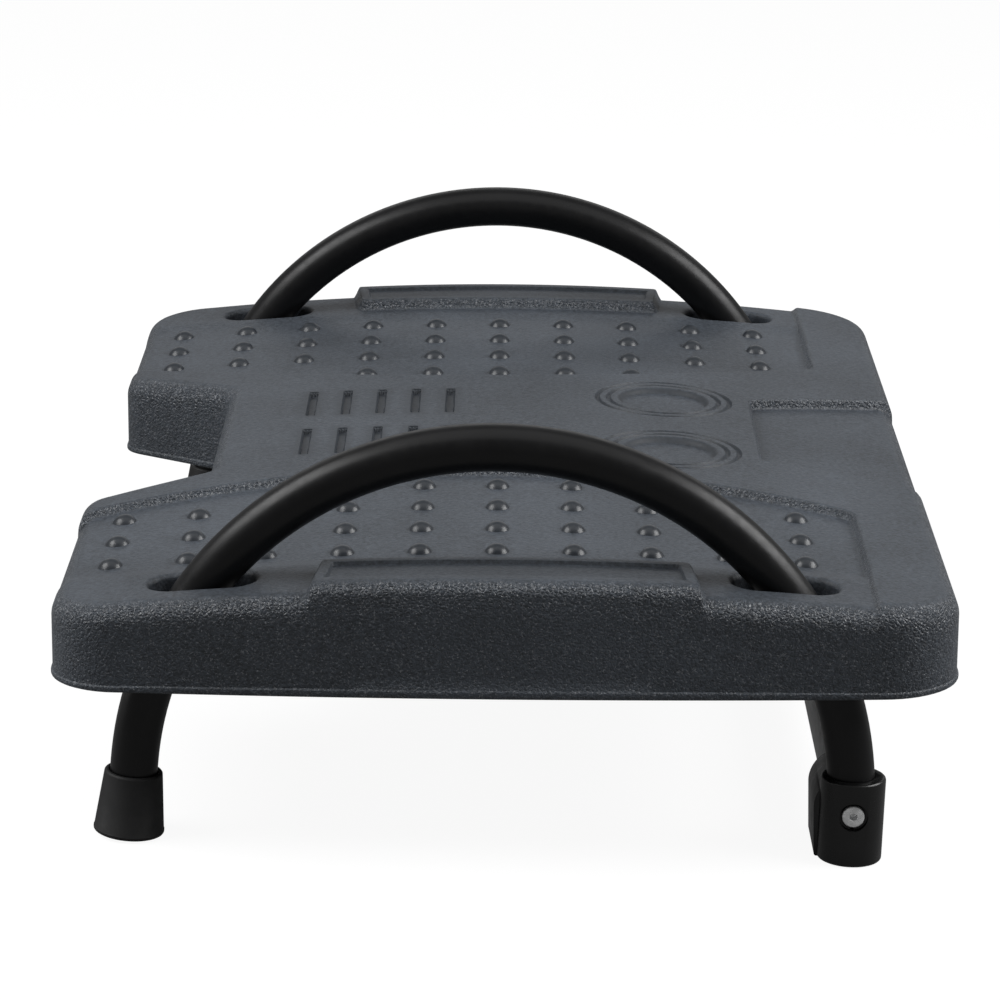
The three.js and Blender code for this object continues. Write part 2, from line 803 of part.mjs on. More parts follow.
function atEnd(geometry, end) {
  return end > 0 ? geometry : geometry.rotateZ(Math.PI);
}

function belowFlangeTop(solid) {
  return solid.subtract(box(0, 0, flangeTop, arcRadius * 2, arcRadius * 4, arcRadius));
}

function tubeGuide(end) {
  const from = flangeArc - guideLead;
  const to = flangeArc + guideReach;
  const sleeve = alongLeg(guideRadius, from, to, tubeSides, guideSteps);
  const corner = { radius: flangeRadius, steps: flangeSteps };
  const halfX = flangeLength / 2;
  const halfY = guideScrewSpacing / 2 + flangeRadius;
  const plan = rectangle(flangeX - halfX, flangeX + halfX, -halfY, halfY);
  const rounded = roundedOutline(plan.map(({ x, y }) => ({ x, y, ...corner })));
  const flange = prism(rounded, flangeTop - flangeThickness, flangeTop);
  const cuts = [
    alongLeg(guideBore, from - overrun, to - guideLip, tubeSides, guideSteps),
    alongLeg(tubeRadius + linerGap, from - overrun, to + overrun, tubeSides, guideSteps),
    ...bothSides((half) => {
      const hole = cylinder(guideScrewShank / 2 + clearance, 0, flangeTop + overrun, screwSides);
      return toSolid(hole.translate(flangeX, (half * guideScrewSpacing) / 2, 0));
    }),
  ];
  return atEnd(toGeometry(belowFlangeTop(sleeve).add(flange).subtract(joined(cuts))), end);
}

function guideLiner(end) {
  const from = flangeArc - guideLead;
  const to = flangeArc + guideReach - guideLip - clearance;
  const sleeve = alongLeg(linerRadius, from, to, tubeSides, guideSteps);
  const bore = alongLeg(tubeRadius + linerGap, from - overrun, to + overrun, tubeSides, guideSteps);
  return atEnd(toGeometry(belowFlangeTop(sleeve).subtract(bore)), end);
}

// One of the two screws of a guide, half is 1 for the outer one and -1 for the inner one.
function guideScrew(end, side, half) {
  const shank = guideScrewShank / 2;
  const head = guideScrewHead / 2;
  const seat = flangeTop - flangeThickness - clearance;
  const screw = turned([
    [0, seat - guideScrewHeadHeight],
    [head / 2, seat - guideScrewHeadHeight],
    [head, seat - guideScrewHeadHeight / 2],
    [head, seat],
    [shank, seat],
    [shank, seat + guideScrewLength],
    [0, seat + guideScrewLength],
  ], screwSides);
  return toGeometry(toSolid(screw.translate(end * flangeX, (side * half * guideScrewSpacing) / 2, 0)));
}

// Assembly

function piece(name, geometry, finish) {
  const mesh = new THREE.Mesh(geometry, new THREE.MeshStandardMaterial(finish));
  mesh.name = name;
  return mesh;
}

const sides = [{ sideName: 'right', side: -1 }, { sideName: 'left', side: 1 }];
const ends = [{ endName: 'heel', end: -1 }, { endName: 'toe', end: 1 }];

const stand = new THREE.Group();
const tilting = new THREE.Group();
tilting.rotation.y = -restTilt;
stand.add(piece('cross_tube', crossTube(), tubeGrey));
tilting.add(piece('tray', tray(), trayPlastic));

for (const { sideName, side } of sides) {
  const leg = new THREE.Group();
  leg.position.y = (side * arcSpacing) / 2;
  leg.add(piece(sideName + '_arc_tube', arcTube(), tubeBlack));
  leg.add(piece(sideName + '_heel_cap', heelCap(), rubberBlack));
  leg.add(piece(sideName + '_toe_foot', toeFoot(side), footBlack));
  leg.add(piece(sideName + '_foot_screw', footScrew(side), zinc));
  leg.add(piece(sideName + '_tube_plug', tubePlug(side), zinc));
  stand.add(leg);
  for (const { endName, end } of ends) {
    const guide = new THREE.Group();
    guide.position.y = (side * arcSpacing) / 2;
    guide.add(piece(sideName + '_' + endName + '_guide', tubeGuide(end), guideGrey));
    guide.add(piece(sideName + '_' + endName + '_liner', guideLiner(end), linerFelt));
    guide.add(piece(sideName + '_' + endName + '_outer_screw', guideScrew(end, side, 1), zinc));
    guide.add(piece(sideName + '_' + endName + '_inner_screw', guideScrew(end, side, -1), zinc));
    tilting.add(guide);
  }
}

const footrest = new THREE.Group();
footrest.position.set(arcCentreX, 0, arcCentreHeight);
footrest.add(stand, tilting);

export default footrest;
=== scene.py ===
import json
import math

import bmesh
import bpy
import numpy as np
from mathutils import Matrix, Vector, geometry


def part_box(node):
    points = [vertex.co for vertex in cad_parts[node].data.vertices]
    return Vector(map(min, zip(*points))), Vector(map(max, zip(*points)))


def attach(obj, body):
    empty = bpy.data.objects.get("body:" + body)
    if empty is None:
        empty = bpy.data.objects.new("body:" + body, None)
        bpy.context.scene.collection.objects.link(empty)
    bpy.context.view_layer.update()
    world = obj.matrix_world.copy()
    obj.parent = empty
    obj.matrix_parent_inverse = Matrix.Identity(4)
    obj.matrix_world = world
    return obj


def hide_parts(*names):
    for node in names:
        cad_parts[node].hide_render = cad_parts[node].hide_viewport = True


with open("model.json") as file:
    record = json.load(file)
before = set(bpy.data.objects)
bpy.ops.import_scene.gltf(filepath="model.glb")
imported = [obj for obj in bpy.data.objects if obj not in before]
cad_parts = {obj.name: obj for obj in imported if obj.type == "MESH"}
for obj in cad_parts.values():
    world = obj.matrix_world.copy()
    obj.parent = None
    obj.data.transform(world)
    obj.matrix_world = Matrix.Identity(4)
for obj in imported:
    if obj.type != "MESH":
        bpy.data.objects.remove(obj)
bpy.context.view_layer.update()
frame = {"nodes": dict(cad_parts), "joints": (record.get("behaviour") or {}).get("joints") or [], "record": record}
mm = 0.001
sides = {"right": -1, "left": 1}      # the right end of the footrest is at -Y
print("frame loaded,", len(frame["nodes"]), "nodes")


# Camera, where the photograph was taken from

cameraValues = {
    "place": (-14.19, -1695.71, 555.95),      # mm
    "turn": (74.131, -2.085, 0.176),          # degrees
    "lens": 149.52,
}


def makeCamera():
    camera = bpy.data.objects.new("camera", bpy.data.cameras.new("camera"))
    camera.location = Vector(cameraValues["place"]) * mm
    camera.rotation_euler = [math.radians(angle) for angle in cameraValues["turn"]]
    camera.data.lens = cameraValues["lens"]
    camera.data.clip_start = 0.05
    camera.data.clip_end = 60
    bpy.context.scene.collection.objects.link(camera)
    bpy.context.scene.camera = camera


makeCamera()
print("camera placed")


# Finishes


class Finish:
    # A principled material with a few helpers for its node tree

    def __init__(self, name, color, roughness, metallic=0, specular=0.5, sheen=0):
        self.material = bpy.data.materials.new(name)
        self.material.use_nodes = True
        self.tree = self.material.node_tree
        self.shader = self.tree.nodes["Principled BSDF"]
        self.setInput("Base Color", (*color, 1))
        self.setInput("Roughness", roughness)
        self.setInput("Metallic", metallic)
        self.setInput("Specular IOR Level", specular)
        self.setInput("Sheen Weight", sheen)
        self.place = self.tree.nodes.new("ShaderNodeTexCoord").outputs["Object"]

    def setInput(self, name, value):
        self.feed(self.shader.inputs[name], value)

    def feed(self, socket, value):
        # Links a node's output, or writes a plain value
        if isinstance(value, bpy.types.NodeSocket):
            self.tree.links.new(value, socket)
        else:
            socket.default_value = value

    def node(self, kind, settings=None, **inputs):
        made = self.tree.nodes.new("ShaderNode" + kind)
        for name, value in (settings or {}).items():
            setattr(made, name, value)
        for name, value in inputs.items():
            self.feed(made.inputs[name.replace("_", " ")], value)
        return made

    def noise(self, scale, detail=3.0, roughness=0.5, distortion=0.0):
        made = self.node("TexNoise", Vector=self.place, Scale=scale, Detail=detail,
                         Roughness=roughness, Distortion=distortion)
        return made.outputs["Fac"]

    def cells(self, scale):
        made = self.node("TexVoronoi", {"feature": "DISTANCE_TO_EDGE"}, Vector=self.place, Scale=scale)
        return made.outputs["Distance"]

    def math(self, operation, first, second):
        made = self.node("Math", {"operation": operation})
        self.feed(made.inputs[0], first)
        self.feed(made.inputs[1], second)
        return made.outputs[0]

    def spread(self, value, low, high, fromLow=0.0, fromHigh=1.0):
        made = self.node("MapRange", Value=value, From_Min=fromLow, From_Max=fromHigh,
                         To_Min=low, To_Max=high)
        return made.outputs["Result"]

    def tint(self, value, dark, light, low=0.35, high=0.65):
        ramp = self.node("ValToRGB", Fac=value)
        for stop, position, color in zip(ramp.color_ramp.elements, (low, high), (dark, light)):
            stop.position = position
            stop.color = (*color, 1)
        self.setInput("Base Color", ramp.outputs["Color"])

    def mixIn(self, share, color):
        # Mixes a second colour into the base colour
        base = self.shader.inputs["Base Color"]
        made = self.node("Mix", {"data_type": "RGBA"})
        self.feed(made.inputs[0], share)
        self.feed(made.inputs[6], base.links[0].from_socket)
        self.feed(made.inputs[7], (*color, 1))
        self.tree.links.new(made.outputs[2], base)

    def bump(self, height, distance, strength=1.0):
        made = self.node("Bump", Height=height, Distance=distance, Strength=strength)
        before = self.shader.inputs["Normal"]
        if before.is_linked:
            self.tree.links.new(before.links[0].from_socket, made.inputs["Normal"])
        self.tree.links.new(made.outputs["Normal"], before)


def shades(color, darker, lighter):
    return [part * darker for part in color], [part * lighter for part in color]


trayFinishValues = {
    "color": (0.0465, 0.0545, 0.066),
    "shades": (0.55, 1.5),
    # painted glints: a light colour flecked onto the coarse grain of rims, walls and steps
    "paintedGlintColor": (0.25, 0.26, 0.28),
    "paintedShadeColor": (0.022, 0.026, 0.032),      # painted shade: a darker colour on the domes, ring slopes and slits, which have no grain and so catch no sheen
    "specular": 0.43,
    "roughTop": 0.54,
    "roughWall": 0.33,
    "roughDome": 0.33,
    "cloudGrain": 14,       # grains are counted in cells to the metre
    "speckGrain": 560,
    "fineGrain": 760,       # on the treads
    "coarseGrain": 640,     # on rims, walls and steps
    "paintedGlintGrain": 1100,     # painted glints: light flecks in the coarse grain, standing in for the sparkle of light on it
    "grainDepth": 0.0006,
}


def makeTrayFinish():
    values = trayFinishValues
    color, roughTop, depth = values["color"], values["roughTop"], values["grainDepth"]
    finish = Finish("slate grey grained plastic", color, roughTop, specular=values["specular"])
    grain = finish.node("Attribute", {"attribute_name": "grain"}).outputs["Fac"]
    cloud = finish.noise(values["cloudGrain"], 2)
    speck = finish.noise(values["speckGrain"], 3, 0.75)
    mottle = finish.math("ADD", finish.math("MULTIPLY", cloud, 0.3), finish.math("MULTIPLY", speck, 0.7))
    finish.tint(mottle, *shades(color, *values["shades"]), 0.36, 0.64)
    # Painted glints: light flecks on the coarse grain of rims, walls and steps, in place of sparkling light
    paintedGlint = finish.spread(finish.noise(values["paintedGlintGrain"], 3, 0.7, 0.6), 0, 1, 0.56, 0.68)
    finish.mixIn(finish.math("MULTIPLY", paintedGlint, finish.spread(grain, 0, 1, 0.25, 1)), values["paintedGlintColor"])
    # Painted shade: the smooth domes, ring slopes and slits are darkened in colour where the grained parts catch
    # sheen
    finish.mixIn(finish.spread(grain, 0.9, 0, 0, 0.3), values["paintedShadeColor"])
    fine = finish.noise(values["fineGrain"], 2, 0.55, 0.4)
    cells = finish.spread(finish.cells(values["coarseGrain"]), 0, 0.55, 0, 0.28)
    swirl = finish.noise(values["coarseGrain"] * 1.4, 2, 0.5, 1.2)
    pebble = finish.math("ADD", cells, finish.math("MULTIPLY", swirl, 0.6))
    finish.bump(pebble, depth, finish.spread(grain, 0, 0.85, 0.36, 1))
    finish.bump(fine, depth * 0.7, finish.spread(grain, 0.04, 0.8, 0.05, 0.36))
    worn = finish.spread(grain, roughTop, values["roughWall"], 0.36, 1)
    polished = finish.math("LESS_THAN", grain, 0.05)
    polished = finish.math("MULTIPLY", polished, roughTop - values["roughDome"])
    finish.setInput("Roughness", finish.math("SUBTRACT", worn, polished))
    return finish.material


# tone is a noise and the shades it runs between, worn a noise's scale and the roughness it runs between,
# and each bump a noise, a depth in metres and a strength
plainFinishes = {
    "black_tube": {
        "name": "satin black powder coat",
        "color": (0.004, 0.004, 0.0044),
        "specular": 0.28,
        "tone": ((40, 3), 0.8, 1.25), "worn": (260, 0.30, 0.40),
        "bumps": [((1800, 2), 0.00006, 0.12), ((320, 2), 0.0002, 0.03)],      # orange peel
    },
    "cap_rubber": {
        "name": "matt black rubber",
        "color": (0.0105, 0.0105, 0.011),
        "specular": 0.36,
        "tone": ((60, 4), 0.75, 1.3), "worn": (140, 0.54, 0.72),
        "bumps": [((1400, 3, 0.6), 0.00012, 0.25)],
    },
    "foot_plastic": {
        "name": "semi gloss black plastic",
        "color": (0.006, 0.006, 0.0062),
        "specular": 0.4,
        "tone": ((50, 3), 0.8, 1.25), "worn": (180, 0.25, 0.38),
        "bumps": [((900, 3, 0.6), 0.0001, 0.12)],
    },
    "grey_tube": {
        "name": "light grey paint",
        "color": (0.64, 0.645, 0.65),
        "tone": ((30, 3), 0.95, 1.05), "worn": (220, 0.32, 0.45),
        "bumps": [((1500, 2), 0.00005, 0.12)],
    },
    "screw_steel": {
        "name": "bright zinc plate",
        "color": (0.9, 0.905, 0.91),
        "metallic": 0.5,
        "tone": ((400, 4), 0.85, 1.1), "worn": (900, 0.22, 0.42),
        "bumps": [((5000, 2), 0.00003, 0.3)],      # turning marks
    },
    "guide_plastic": {
        "name": "dark grey moulded plastic",
        "color": (0.022, 0.024, 0.027),
        "tone": ((70, 3), 0.85, 1.15), "worn": (200, 0.4, 0.52),
        "bumps": [((1300, 3, 0.6), 0.0001, 0.2)],
    },
    "liner_felt": {
        "name": "grey friction felt",
        "color": (0.09, 0.092, 0.096),
        "roughness": 0.95,
        "sheen": 0.3,
        "tone": ((900, 4, 0.7), 0.6, 1.4),
        "bumps": [((2600, 4, 0.7, 0.8), 0.0003, 0.6)],
    },
}


def makePlainFinish(name, color, tone, bumps, worn=None, roughness=0.5, metallic=0, specular=0.5, sheen=0):
    finish = Finish(name, color, roughness, metallic, specular, sheen)
    finish.tint(finish.noise(*tone[0]), *shades(color, *tone[1:]))
    if worn:
        finish.setInput("Roughness", finish.spread(finish.noise(worn[0], 3), *worn[1:], 0.3, 0.7))
    for noise, depth, strength in bumps:
        finish.bump(finish.noise(*noise), depth, strength)
    return finish.material


finishes = {"tray_plastic": makeTrayFinish()}
for slot, values in plainFinishes.items():
    finishes[slot] = makePlainFinish(**values)
print("finishes made")


# Handling pieces


def deselectAll():
    if bpy.context.object and bpy.context.object.mode != "OBJECT":
        bpy.ops.object.mode_set(mode="OBJECT")
    bpy.ops.object.select_all(action="DESELECT")


def choose(piece):
    deselectAll()
    piece.select_set(True)
    bpy.context.view_layer.objects.active = piece


def editPiece(piece):
    choose(piece)
    bpy.ops.object.mode_set(mode="EDIT")


def pickParts(piece, kind, wanted):
    bpy.ops.mesh.select_mode(type=kind)
    bpy.ops.mesh.select_all(action="DESELECT")
    edited = bmesh.from_edit_mesh(piece.data)
    for part in edited.faces if kind == "FACE" else edited.edges:
        part.select_set(wanted(part))
    edited.select_flush_mode()
    bmesh.update_edit_mesh(piece.data)


def leaveEdit():
    bpy.ops.object.mode_set(mode="OBJECT")


def pickFaces(piece, wanted):
    pickParts(piece, "FACE", lambda face: wanted(face.calc_center_median(), face.normal))


def bevelEdges(piece, width, segments, wanted):
    pickParts(piece, "EDGE", lambda edge: wanted(edge.verts[0].co, edge.verts[1].co))
    bpy.ops.mesh.bevel(offset=width, segments=segments)


def pushFaces(way):
    bpy.ops.mesh.extrude_region_move(TRANSFORM_OT_translate={"value": way})


def applyPlace(piece):
    choose(piece)
    bpy.ops.object.transform_apply(location=True, rotation=True, scale=True)


def applyModifier(piece, kind, **settings):
    choose(piece)
    made = piece.modifiers.new(kind.lower(), kind)
    for name, value in settings.items():
        setattr(made, name, value)
    bpy.ops.object.modifier_apply(modifier=made.name)


def cutBy(piece, tool, operation="DIFFERENCE"):
    applyModifier(piece, "BOOLEAN", object=tool, operation=operation, solver="EXACT")
    bpy.data.objects.remove(tool)


def softenEdges(piece, width):
    applyModifier(piece, "BEVEL", width=width, segments=2, limit_method="ANGLE", angle_limit=math.radians(50))


def dress(piece, name, slot, node, body="stand", angle=35):
    # Smooths a finished piece, then gives it its name, its finish and its CAD node's place
    choose(piece)
    bpy.ops.object.shade_smooth_by_angle(angle=math.radians(angle))
    piece.name = name
    piece.data.name = name
    piece.data.materials.clear()
    piece.data.materials.append(finishes[slot])
    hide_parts(node)
    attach(piece, body)


def middle(node):
    low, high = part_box(node)
    return (low + high) / 2


def turnedAlong(radius, depth, place, rotation, sides=72, topRadius=None):
    deselectAll()
    where = {"vertices": sides, "depth": depth, "location": place, "rotation": rotation}
    if topRadius is None:
        bpy.ops.mesh.primitive_cylinder_add(radius=radius, **where)
    else:
        bpy.ops.mesh.primitive_cone_add(radius1=radius, radius2=topRadius, **where)
    piece = bpy.context.object
    applyPlace(piece)
    return piece


# Tray, worked out flat in millimetres with its treads at height 0, then crowned and tilted

tray = {
    "length": 339,
    "width": 493,
    "widestX": 10,
    "sideRadius": 2470,
    "ahead": 4.5,             # of the arc centre
    "rise": 86,               # treads above the arc centre
    "tilt": 1.65,
    "heelCorner": 26,
    "toeCorner": 31,
    "notchDepth": 48,
    "notchInner": 128,
    "notchMouth": 192,
    "notchInnerCorner": 9,
    "notchMouthCorner": 14,
    "skirt": 38.5,
    "wall": 3,
    "skin": 3.2,
    "rim": 7.5,
    "crownDrop": 7.03,
    "crownReach": 147,
    "crownCrest": -0.9,
    "crownFoot": 12,
    "lip": 0.65,
    "lipHeight": 3.2,
    "past": 12,               # by which lines across it run past its outline
    "rimSpacing": 1.3,
    "lineSpacing": 2.0,
    "fillSpacing": 4.4,
}
tread = {
    "rise": 3.5,              # of the middle above the treads
    "run": 3.4,
    "waist": 151,
    "waistRadius": 312,
    "waistX": -15,
    "toeX": 138.5,
    "corner": 11,
    "sideLift": 1.5,
    "liftFrom": 192,
    "liftTo": 206,
    "outerY": 265,
}
rail = {
    "half": 68,
    "outerHalf": 72,
    "innerY": 213.5,
    "outerY": 262,
    "corner": 2.2,
    "rise": 6.4,
    "run": 3.4,
    "rim": 5.5,
    "border": 3.2,
    "outerBorder": 3.6,
    "channel": 1.5,
    "channelRun": 1.1,
}
recess = {"innerX": 104, "innerWidth": 100, "mouthWidth": 153, "depth": 4.1, "corner": 7, "run": 2.2}
rings = {
    "x": 67.5,
    "spacing": 82.2,
    "radius": 29.8,
    "groove": 2.5,
    "grooveRun": 0.8,
    "ridge": 2.3,
    "depth": 1.2,
    "dish": 2.5,
    "dishRun": 3.3,
}
slits = {
    "count": 5,
    "pitch": 14.8,
    "firstX": -83.6,
    "width": 4.2,
    "length": 40.5,
    "rowSpacing": 62.5,
    "depth": 2.0,
    "run": 0.55,
    "corner": 0.9,
    "nub": 0.52,              # radius of the small nubs at the left end of each slit
    "nubPitch": 1.3,
    "nubInset": 1.3,
    "nubRun": 0.5,
}
domes = {
    "pitch": 29.4,
    "firstX": -150.5,
    "rowY": 184.2,
    "rowPitch": 30.3,
    "radius": 4.7,
    "height": 3.1,
    "rows": (3, 3, 3, 4, 4, 4, 4, 4, 3, 3),
}
slots = {
    "spacing": 432.8,
    "near": 88.5,             # from the arc centre
    "far": 128.6,
    "width": 20,
    "lip": 2.3,
    "wellWall": 2.5,
    "wellDepth": 11.5,
}
under = {
    "fillet": 4.3,
    "wallDraft": 0.6,
    "ribHalf": 1.0,
    "draft": 0.25,
    "ribDepth": 19,
    "crossPitch": 48,
    "crossCount": 7,
    "longPitch": 96,
    "longCount": 5,
    "pocket": 2.6,
    "pocketMargin": 8,
    "bossRadius": 4,
    "bossX": 117.1,           # from the arc centre
    "bossSpacing": 35,
    "bossFoot": -17.7,
    "bossHole": 2.1,
    "bossHoleDepth": 10,
}
grains = {                    # how coarse the grain is, 1 at rims and steps
    "tread": 0.34,
    "rail": 0.28,
    "ring": 0.06,
    "slit": 0.12,
    "dome": 0,
    "wall": 0.76,
    "well": 0.5,
    "under": 0.3,
}


def smooth(share):
    share = np.clip(share, 0, 1)
    return share * share * (3 - 2 * share)


def roundedLine(corners, closed, turnStep=6):
    # Dense points through corners of (x, y, radius)
    points = []
    last = len(corners) - 1
    for i, (x, y, radius) in enumerate(corners):
        here = np.array((x, y), float)
        if not radius or (not closed and i in (0, last)):
            points.append(here)
            continue
        back = np.array(corners[i - 1][:2], float) - here
        on = np.array(corners[(i + 1) % len(corners)][:2], float) - here
        back /= np.linalg.norm(back)
        on /= np.linalg.norm(on)
        half = math.acos(np.clip(back @ on, -1, 1)) / 2
        middleWay = (back + on) / np.linalg.norm(back + on)
        centre = here + middleWay * radius / math.sin(half)
        start = here + back * radius / math.tan(half) - centre
        turn = math.pi - 2 * half
        if back[0] * on[1] - back[1] * on[0] > 0:
            turn = -turn
        steps = max(2, round(abs(math.degrees(turn)) / turnStep))
        for step in range(steps + 1):
            angle = turn * step / steps
            c, s = math.cos(angle), math.sin(angle)
            points.append(centre + (start[0] * c - start[1] * s, start[0] * s + start[1] * c))
    return np.array(points)


def filled(line, spacing, closed):
    # The same line with extra points so that no step is longer than spacing
    ends = np.roll(line, -1, axis=0) if closed else line[1:]
    starts = line if closed else line[:-1]
    points = []
    for start, end in zip(starts, ends):
        count = max(1, math.ceil(np.linalg.norm(end - start) / spacing))
        points.extend(start + (end - start) * step / count for step in range(count))
    if not closed:
        points.append(line[-1])
    return np.array(points)


def leftNormals(line, closed):
    if closed:
        along = np.roll(line, -1, axis=0) - np.roll(line, 1, axis=0)
    else:
        along = np.gradient(line, axis=0)
    along /= np.linalg.norm(along, axis=1)[:, None]
    return np.stack((-along[:, 1], along[:, 0]), axis=1)


def distanceTo(points, line, closed=False):
    # Distance to a line, positive on its left
    starts = line if closed else line[:-1]
    along = (np.roll(line, -1, axis=0) if closed else line[1:]) - starts
    lengths = (along ** 2).sum(1)
    result = np.empty(len(points))
    for first in range(0, len(points), 3000):
        gap = points[first:first + 3000, None, :] - starts
        share = np.clip((gap * along).sum(2) / lengths, 0, 1)
        gap -= share[..., None] * along
        squared = (gap ** 2).sum(2)
        nearest = squared.argmin(1)
        rows = np.arange(len(nearest))
        gap = gap[rows, nearest]
        way = along[nearest]
        left = way[:, 0] * gap[:, 1] - way[:, 1] * gap[:, 0]
        result[first:first + 3000] = np.sqrt(squared[rows, nearest]) * np.where(left < 0, -1, 1)
    return result


def sideY(x):
    return tray["width"] / 2 - (x - tray["widestX"]) ** 2 / (2 * tray["sideRadius"])


def trayLine():
    end = tray["length"] / 2
    side = np.linspace(tray["heelCorner"] - end + 4, end - tray["toeCorner"] - 4, 25)
    inner, mouth = tray["notchInner"] / 2, tray["notchMouth"] / 2
    notch = tray["notchDepth"] - end
    corners = [(x, -sideY(x), 0) for x in side]
    corners += [(end, -sideY(end), tray["toeCorner"]), (end, sideY(end), tray["toeCorner"])]
    corners += [(x, sideY(x), 0) for x in side[::-1]]
    corners += [
        (-end, sideY(end), tray["heelCorner"]),
        (-end, mouth, tray["notchMouthCorner"]),
        (notch, inner, tray["notchInnerCorner"]),
        (notch, -inner, tray["notchInnerCorner"]),
        (-end, -mouth, tray["notchMouthCorner"]),
        (-end, -sideY(end), tray["heelCorner"]),
    ]
    return roundedLine(corners, True)


def treadLine():
    # Edge of the left tread, which lies on its left: from the toe border's end to the heel
    radius, toeX = tread["waistRadius"], tread["toeX"]

    def waistY(x):
        return float(tread["waist"] / 2 + radius - np.sqrt(radius ** 2 - (x - tread["waistX"]) ** 2))

    corners = [(toeX, tread["outerY"], 0), (toeX, waistY(toeX), tread["corner"])]
    for x in np.linspace(toeX - 2 * tread["corner"], -tray["length"] / 2 - tray["past"], 60):
        corners.append((x, waistY(x), 0))
    return roundedLine(corners, False)[::-1]


def railLine():
    return roundedLine([
        (-rail["outerHalf"], rail["outerY"], 0),
        (-rail["half"], rail["innerY"], rail["corner"]),
        (rail["half"], rail["innerY"], rail["corner"]),
        (rail["outerHalf"], rail["outerY"], 0),
    ], False)


def recessLine():
    end = tray["length"] / 2 + tray["past"]
    return roundedLine([
        (end, recess["mouthWidth"] / 2, 0),
        (recess["innerX"], recess["innerWidth"] / 2, recess["corner"]),
        (recess["innerX"], -recess["innerWidth"] / 2, recess["corner"]),
        (end, -recess["mouthWidth"] / 2, 0),
    ], False)


lines = {
    "tray": filled(trayLine(), tray["rimSpacing"], True),
    "tread": filled(treadLine(), tray["lineSpacing"], False),
    "rail": filled(railLine(), tray["lineSpacing"], False),
    "recess": filled(recessLine(), tray["lineSpacing"], False),
}


def edgeDistance(points):
    # Distance inwards from the tray's outline
    return distanceTo(points, lines["tray"], True)


def slotCentres():
    x = (slots["near"] + slots["far"]) / 2
    for end in (-1, 1):
        for side in (-1, 1):
            yield end, end * x - tray["ahead"], side * slots["spacing"] / 2


def slotDistance(points):
    # Distance outwards from the nearest slot
    half = (slots["far"] - slots["near"] - slots["width"]) / 2
    found = np.full(len(points), 1e3)
    for _, x, y in slotCentres():
        overX = np.maximum(np.abs(points[:, 0] - x) - half, 0)
        found = np.minimum(found, np.hypot(overX, points[:, 1] - y) - slots["width"] / 2)
    return found


def slotLine(centreX, centreY, growth, steps):
    radius = slots["width"] / 2 + growth
    half = (slots["far"] - slots["near"] - slots["width"]) / 2
    points = []
    for along, start in ((half, -math.pi / 2), (-half, math.pi / 2)):
        for turn in np.linspace(start, start + math.pi, steps):
            points.append((centreX + along + radius * math.cos(turn), centreY + radius * math.sin(turn)))
    return filled(np.array(points), 1.6, True)


def slitCentres():
    for row in (-1, 1):
        for i in range(slits["count"]):
            yield slits["firstX"] + i * slits["pitch"], row * slits["rowSpacing"] / 2


def domeCentres():
    for column, rows in enumerate(domes["rows"]):
        for row in range(rows):
            y = domes["rowY"] - row * domes["rowPitch"]
            for side in (-1, 1):
                yield domes["firstX"] + column * domes["pitch"], side * y


def domeBall():
    # Radius of the ball that a dome is the cap of
    return (domes["radius"] ** 2 + domes["height"] ** 2) / (2 * domes["height"])


def nubCentres(x, y):
    for nub in (-1, 0, 1):
        yield x + nub * slits["nubPitch"], y + slits["length"] / 2 - slits["nubInset"]


def dentShare(gap, run):
    # 0 outside, 1 once run has been passed, with soft shoulders
    return smooth(gap / run)


def topShape(points):
    # Height of the top and how coarse its grain is
    x, y = points.T
    edge = edgeDistance(points)
    upper = np.stack((x, np.abs(y)), axis=1)
    lifted = (upper[:, 1] - tread["liftFrom"]) / (tread["liftTo"] - tread["liftFrom"])
    lift = tread["sideLift"] * smooth(lifted)
    sunk = dentShare(distanceTo(upper, lines["tread"]), tread["run"])
    height = tread["rise"] + (lift - tread["rise"]) * sunk
    slope = sunk * (1 - sunk)
    inRail = distanceTo(upper, lines["rail"])
    raised = dentShare(inRail + rail["run"], rail["run"])
    height += (rail["rise"] - height) * raised
    rim = tray["rim"] + (rail["rim"] - tray["rim"]) * raised
    channel = np.minimum(inRail - rail["border"], edge - rim - rail["outerBorder"])
    channel = dentShare(channel, rail["channelRun"])
    height -= rail["channel"] * channel
    slope = np.maximum(slope, raised * (1 - raised))
    dent = dentShare(distanceTo(points, lines["recess"]), recess["run"])
    height += (tread["rise"] - recess["depth"] - height) * dent
    slope = np.maximum(slope, dent * (1 - dent))
    grain = grains["tread"] + (1 - grains["tread"]) * smooth(slope * 5)
    grain = grain + (grains["rail"] - grain) * raised * (inRail > 0) * smooth((edge - rim * 0.8) / 1.5)
    height, grain = ringShape(points, height, grain)
    height, grain = slitShape(points, height, grain)
    height, grain = domeShape(points, height, grain)
    lip = np.clip(slots["lip"] - slotDistance(points), 0, slots["lip"])
    height -= slots["lip"] - np.sqrt(slots["lip"] ** 2 - lip ** 2)
    over = np.clip(rim - edge, 0, rim)
    height -= rim - np.sqrt(rim ** 2 - over ** 2)
    grain = np.maximum(grain, smooth(over / rim * 2.2 - 0.25))
    return height, grain


def ringShape(points, height, grain):
    step = rings["groove"] + rings["ridge"]
    for side in (-1, 1):
        reach = np.hypot(points[:, 0] - rings["x"], points[:, 1] - side * rings["spacing"] / 2)
        dish = rings["radius"] - 2 * step
        dents = [(rings["dish"], dentShare(dish - reach, rings["dishRun"]))]
        for outer in (rings["radius"], rings["radius"] - step):
            inside = np.minimum(outer - reach, reach - outer + rings["groove"])
            dents.append((rings["depth"], dentShare(inside, rings["grooveRun"])))
        for depth, dent in dents:
            height = height - depth * dent
            grain = grain - (grain - grains["ring"]) * smooth(dent * (1 - dent) * 6)
    return height, grain


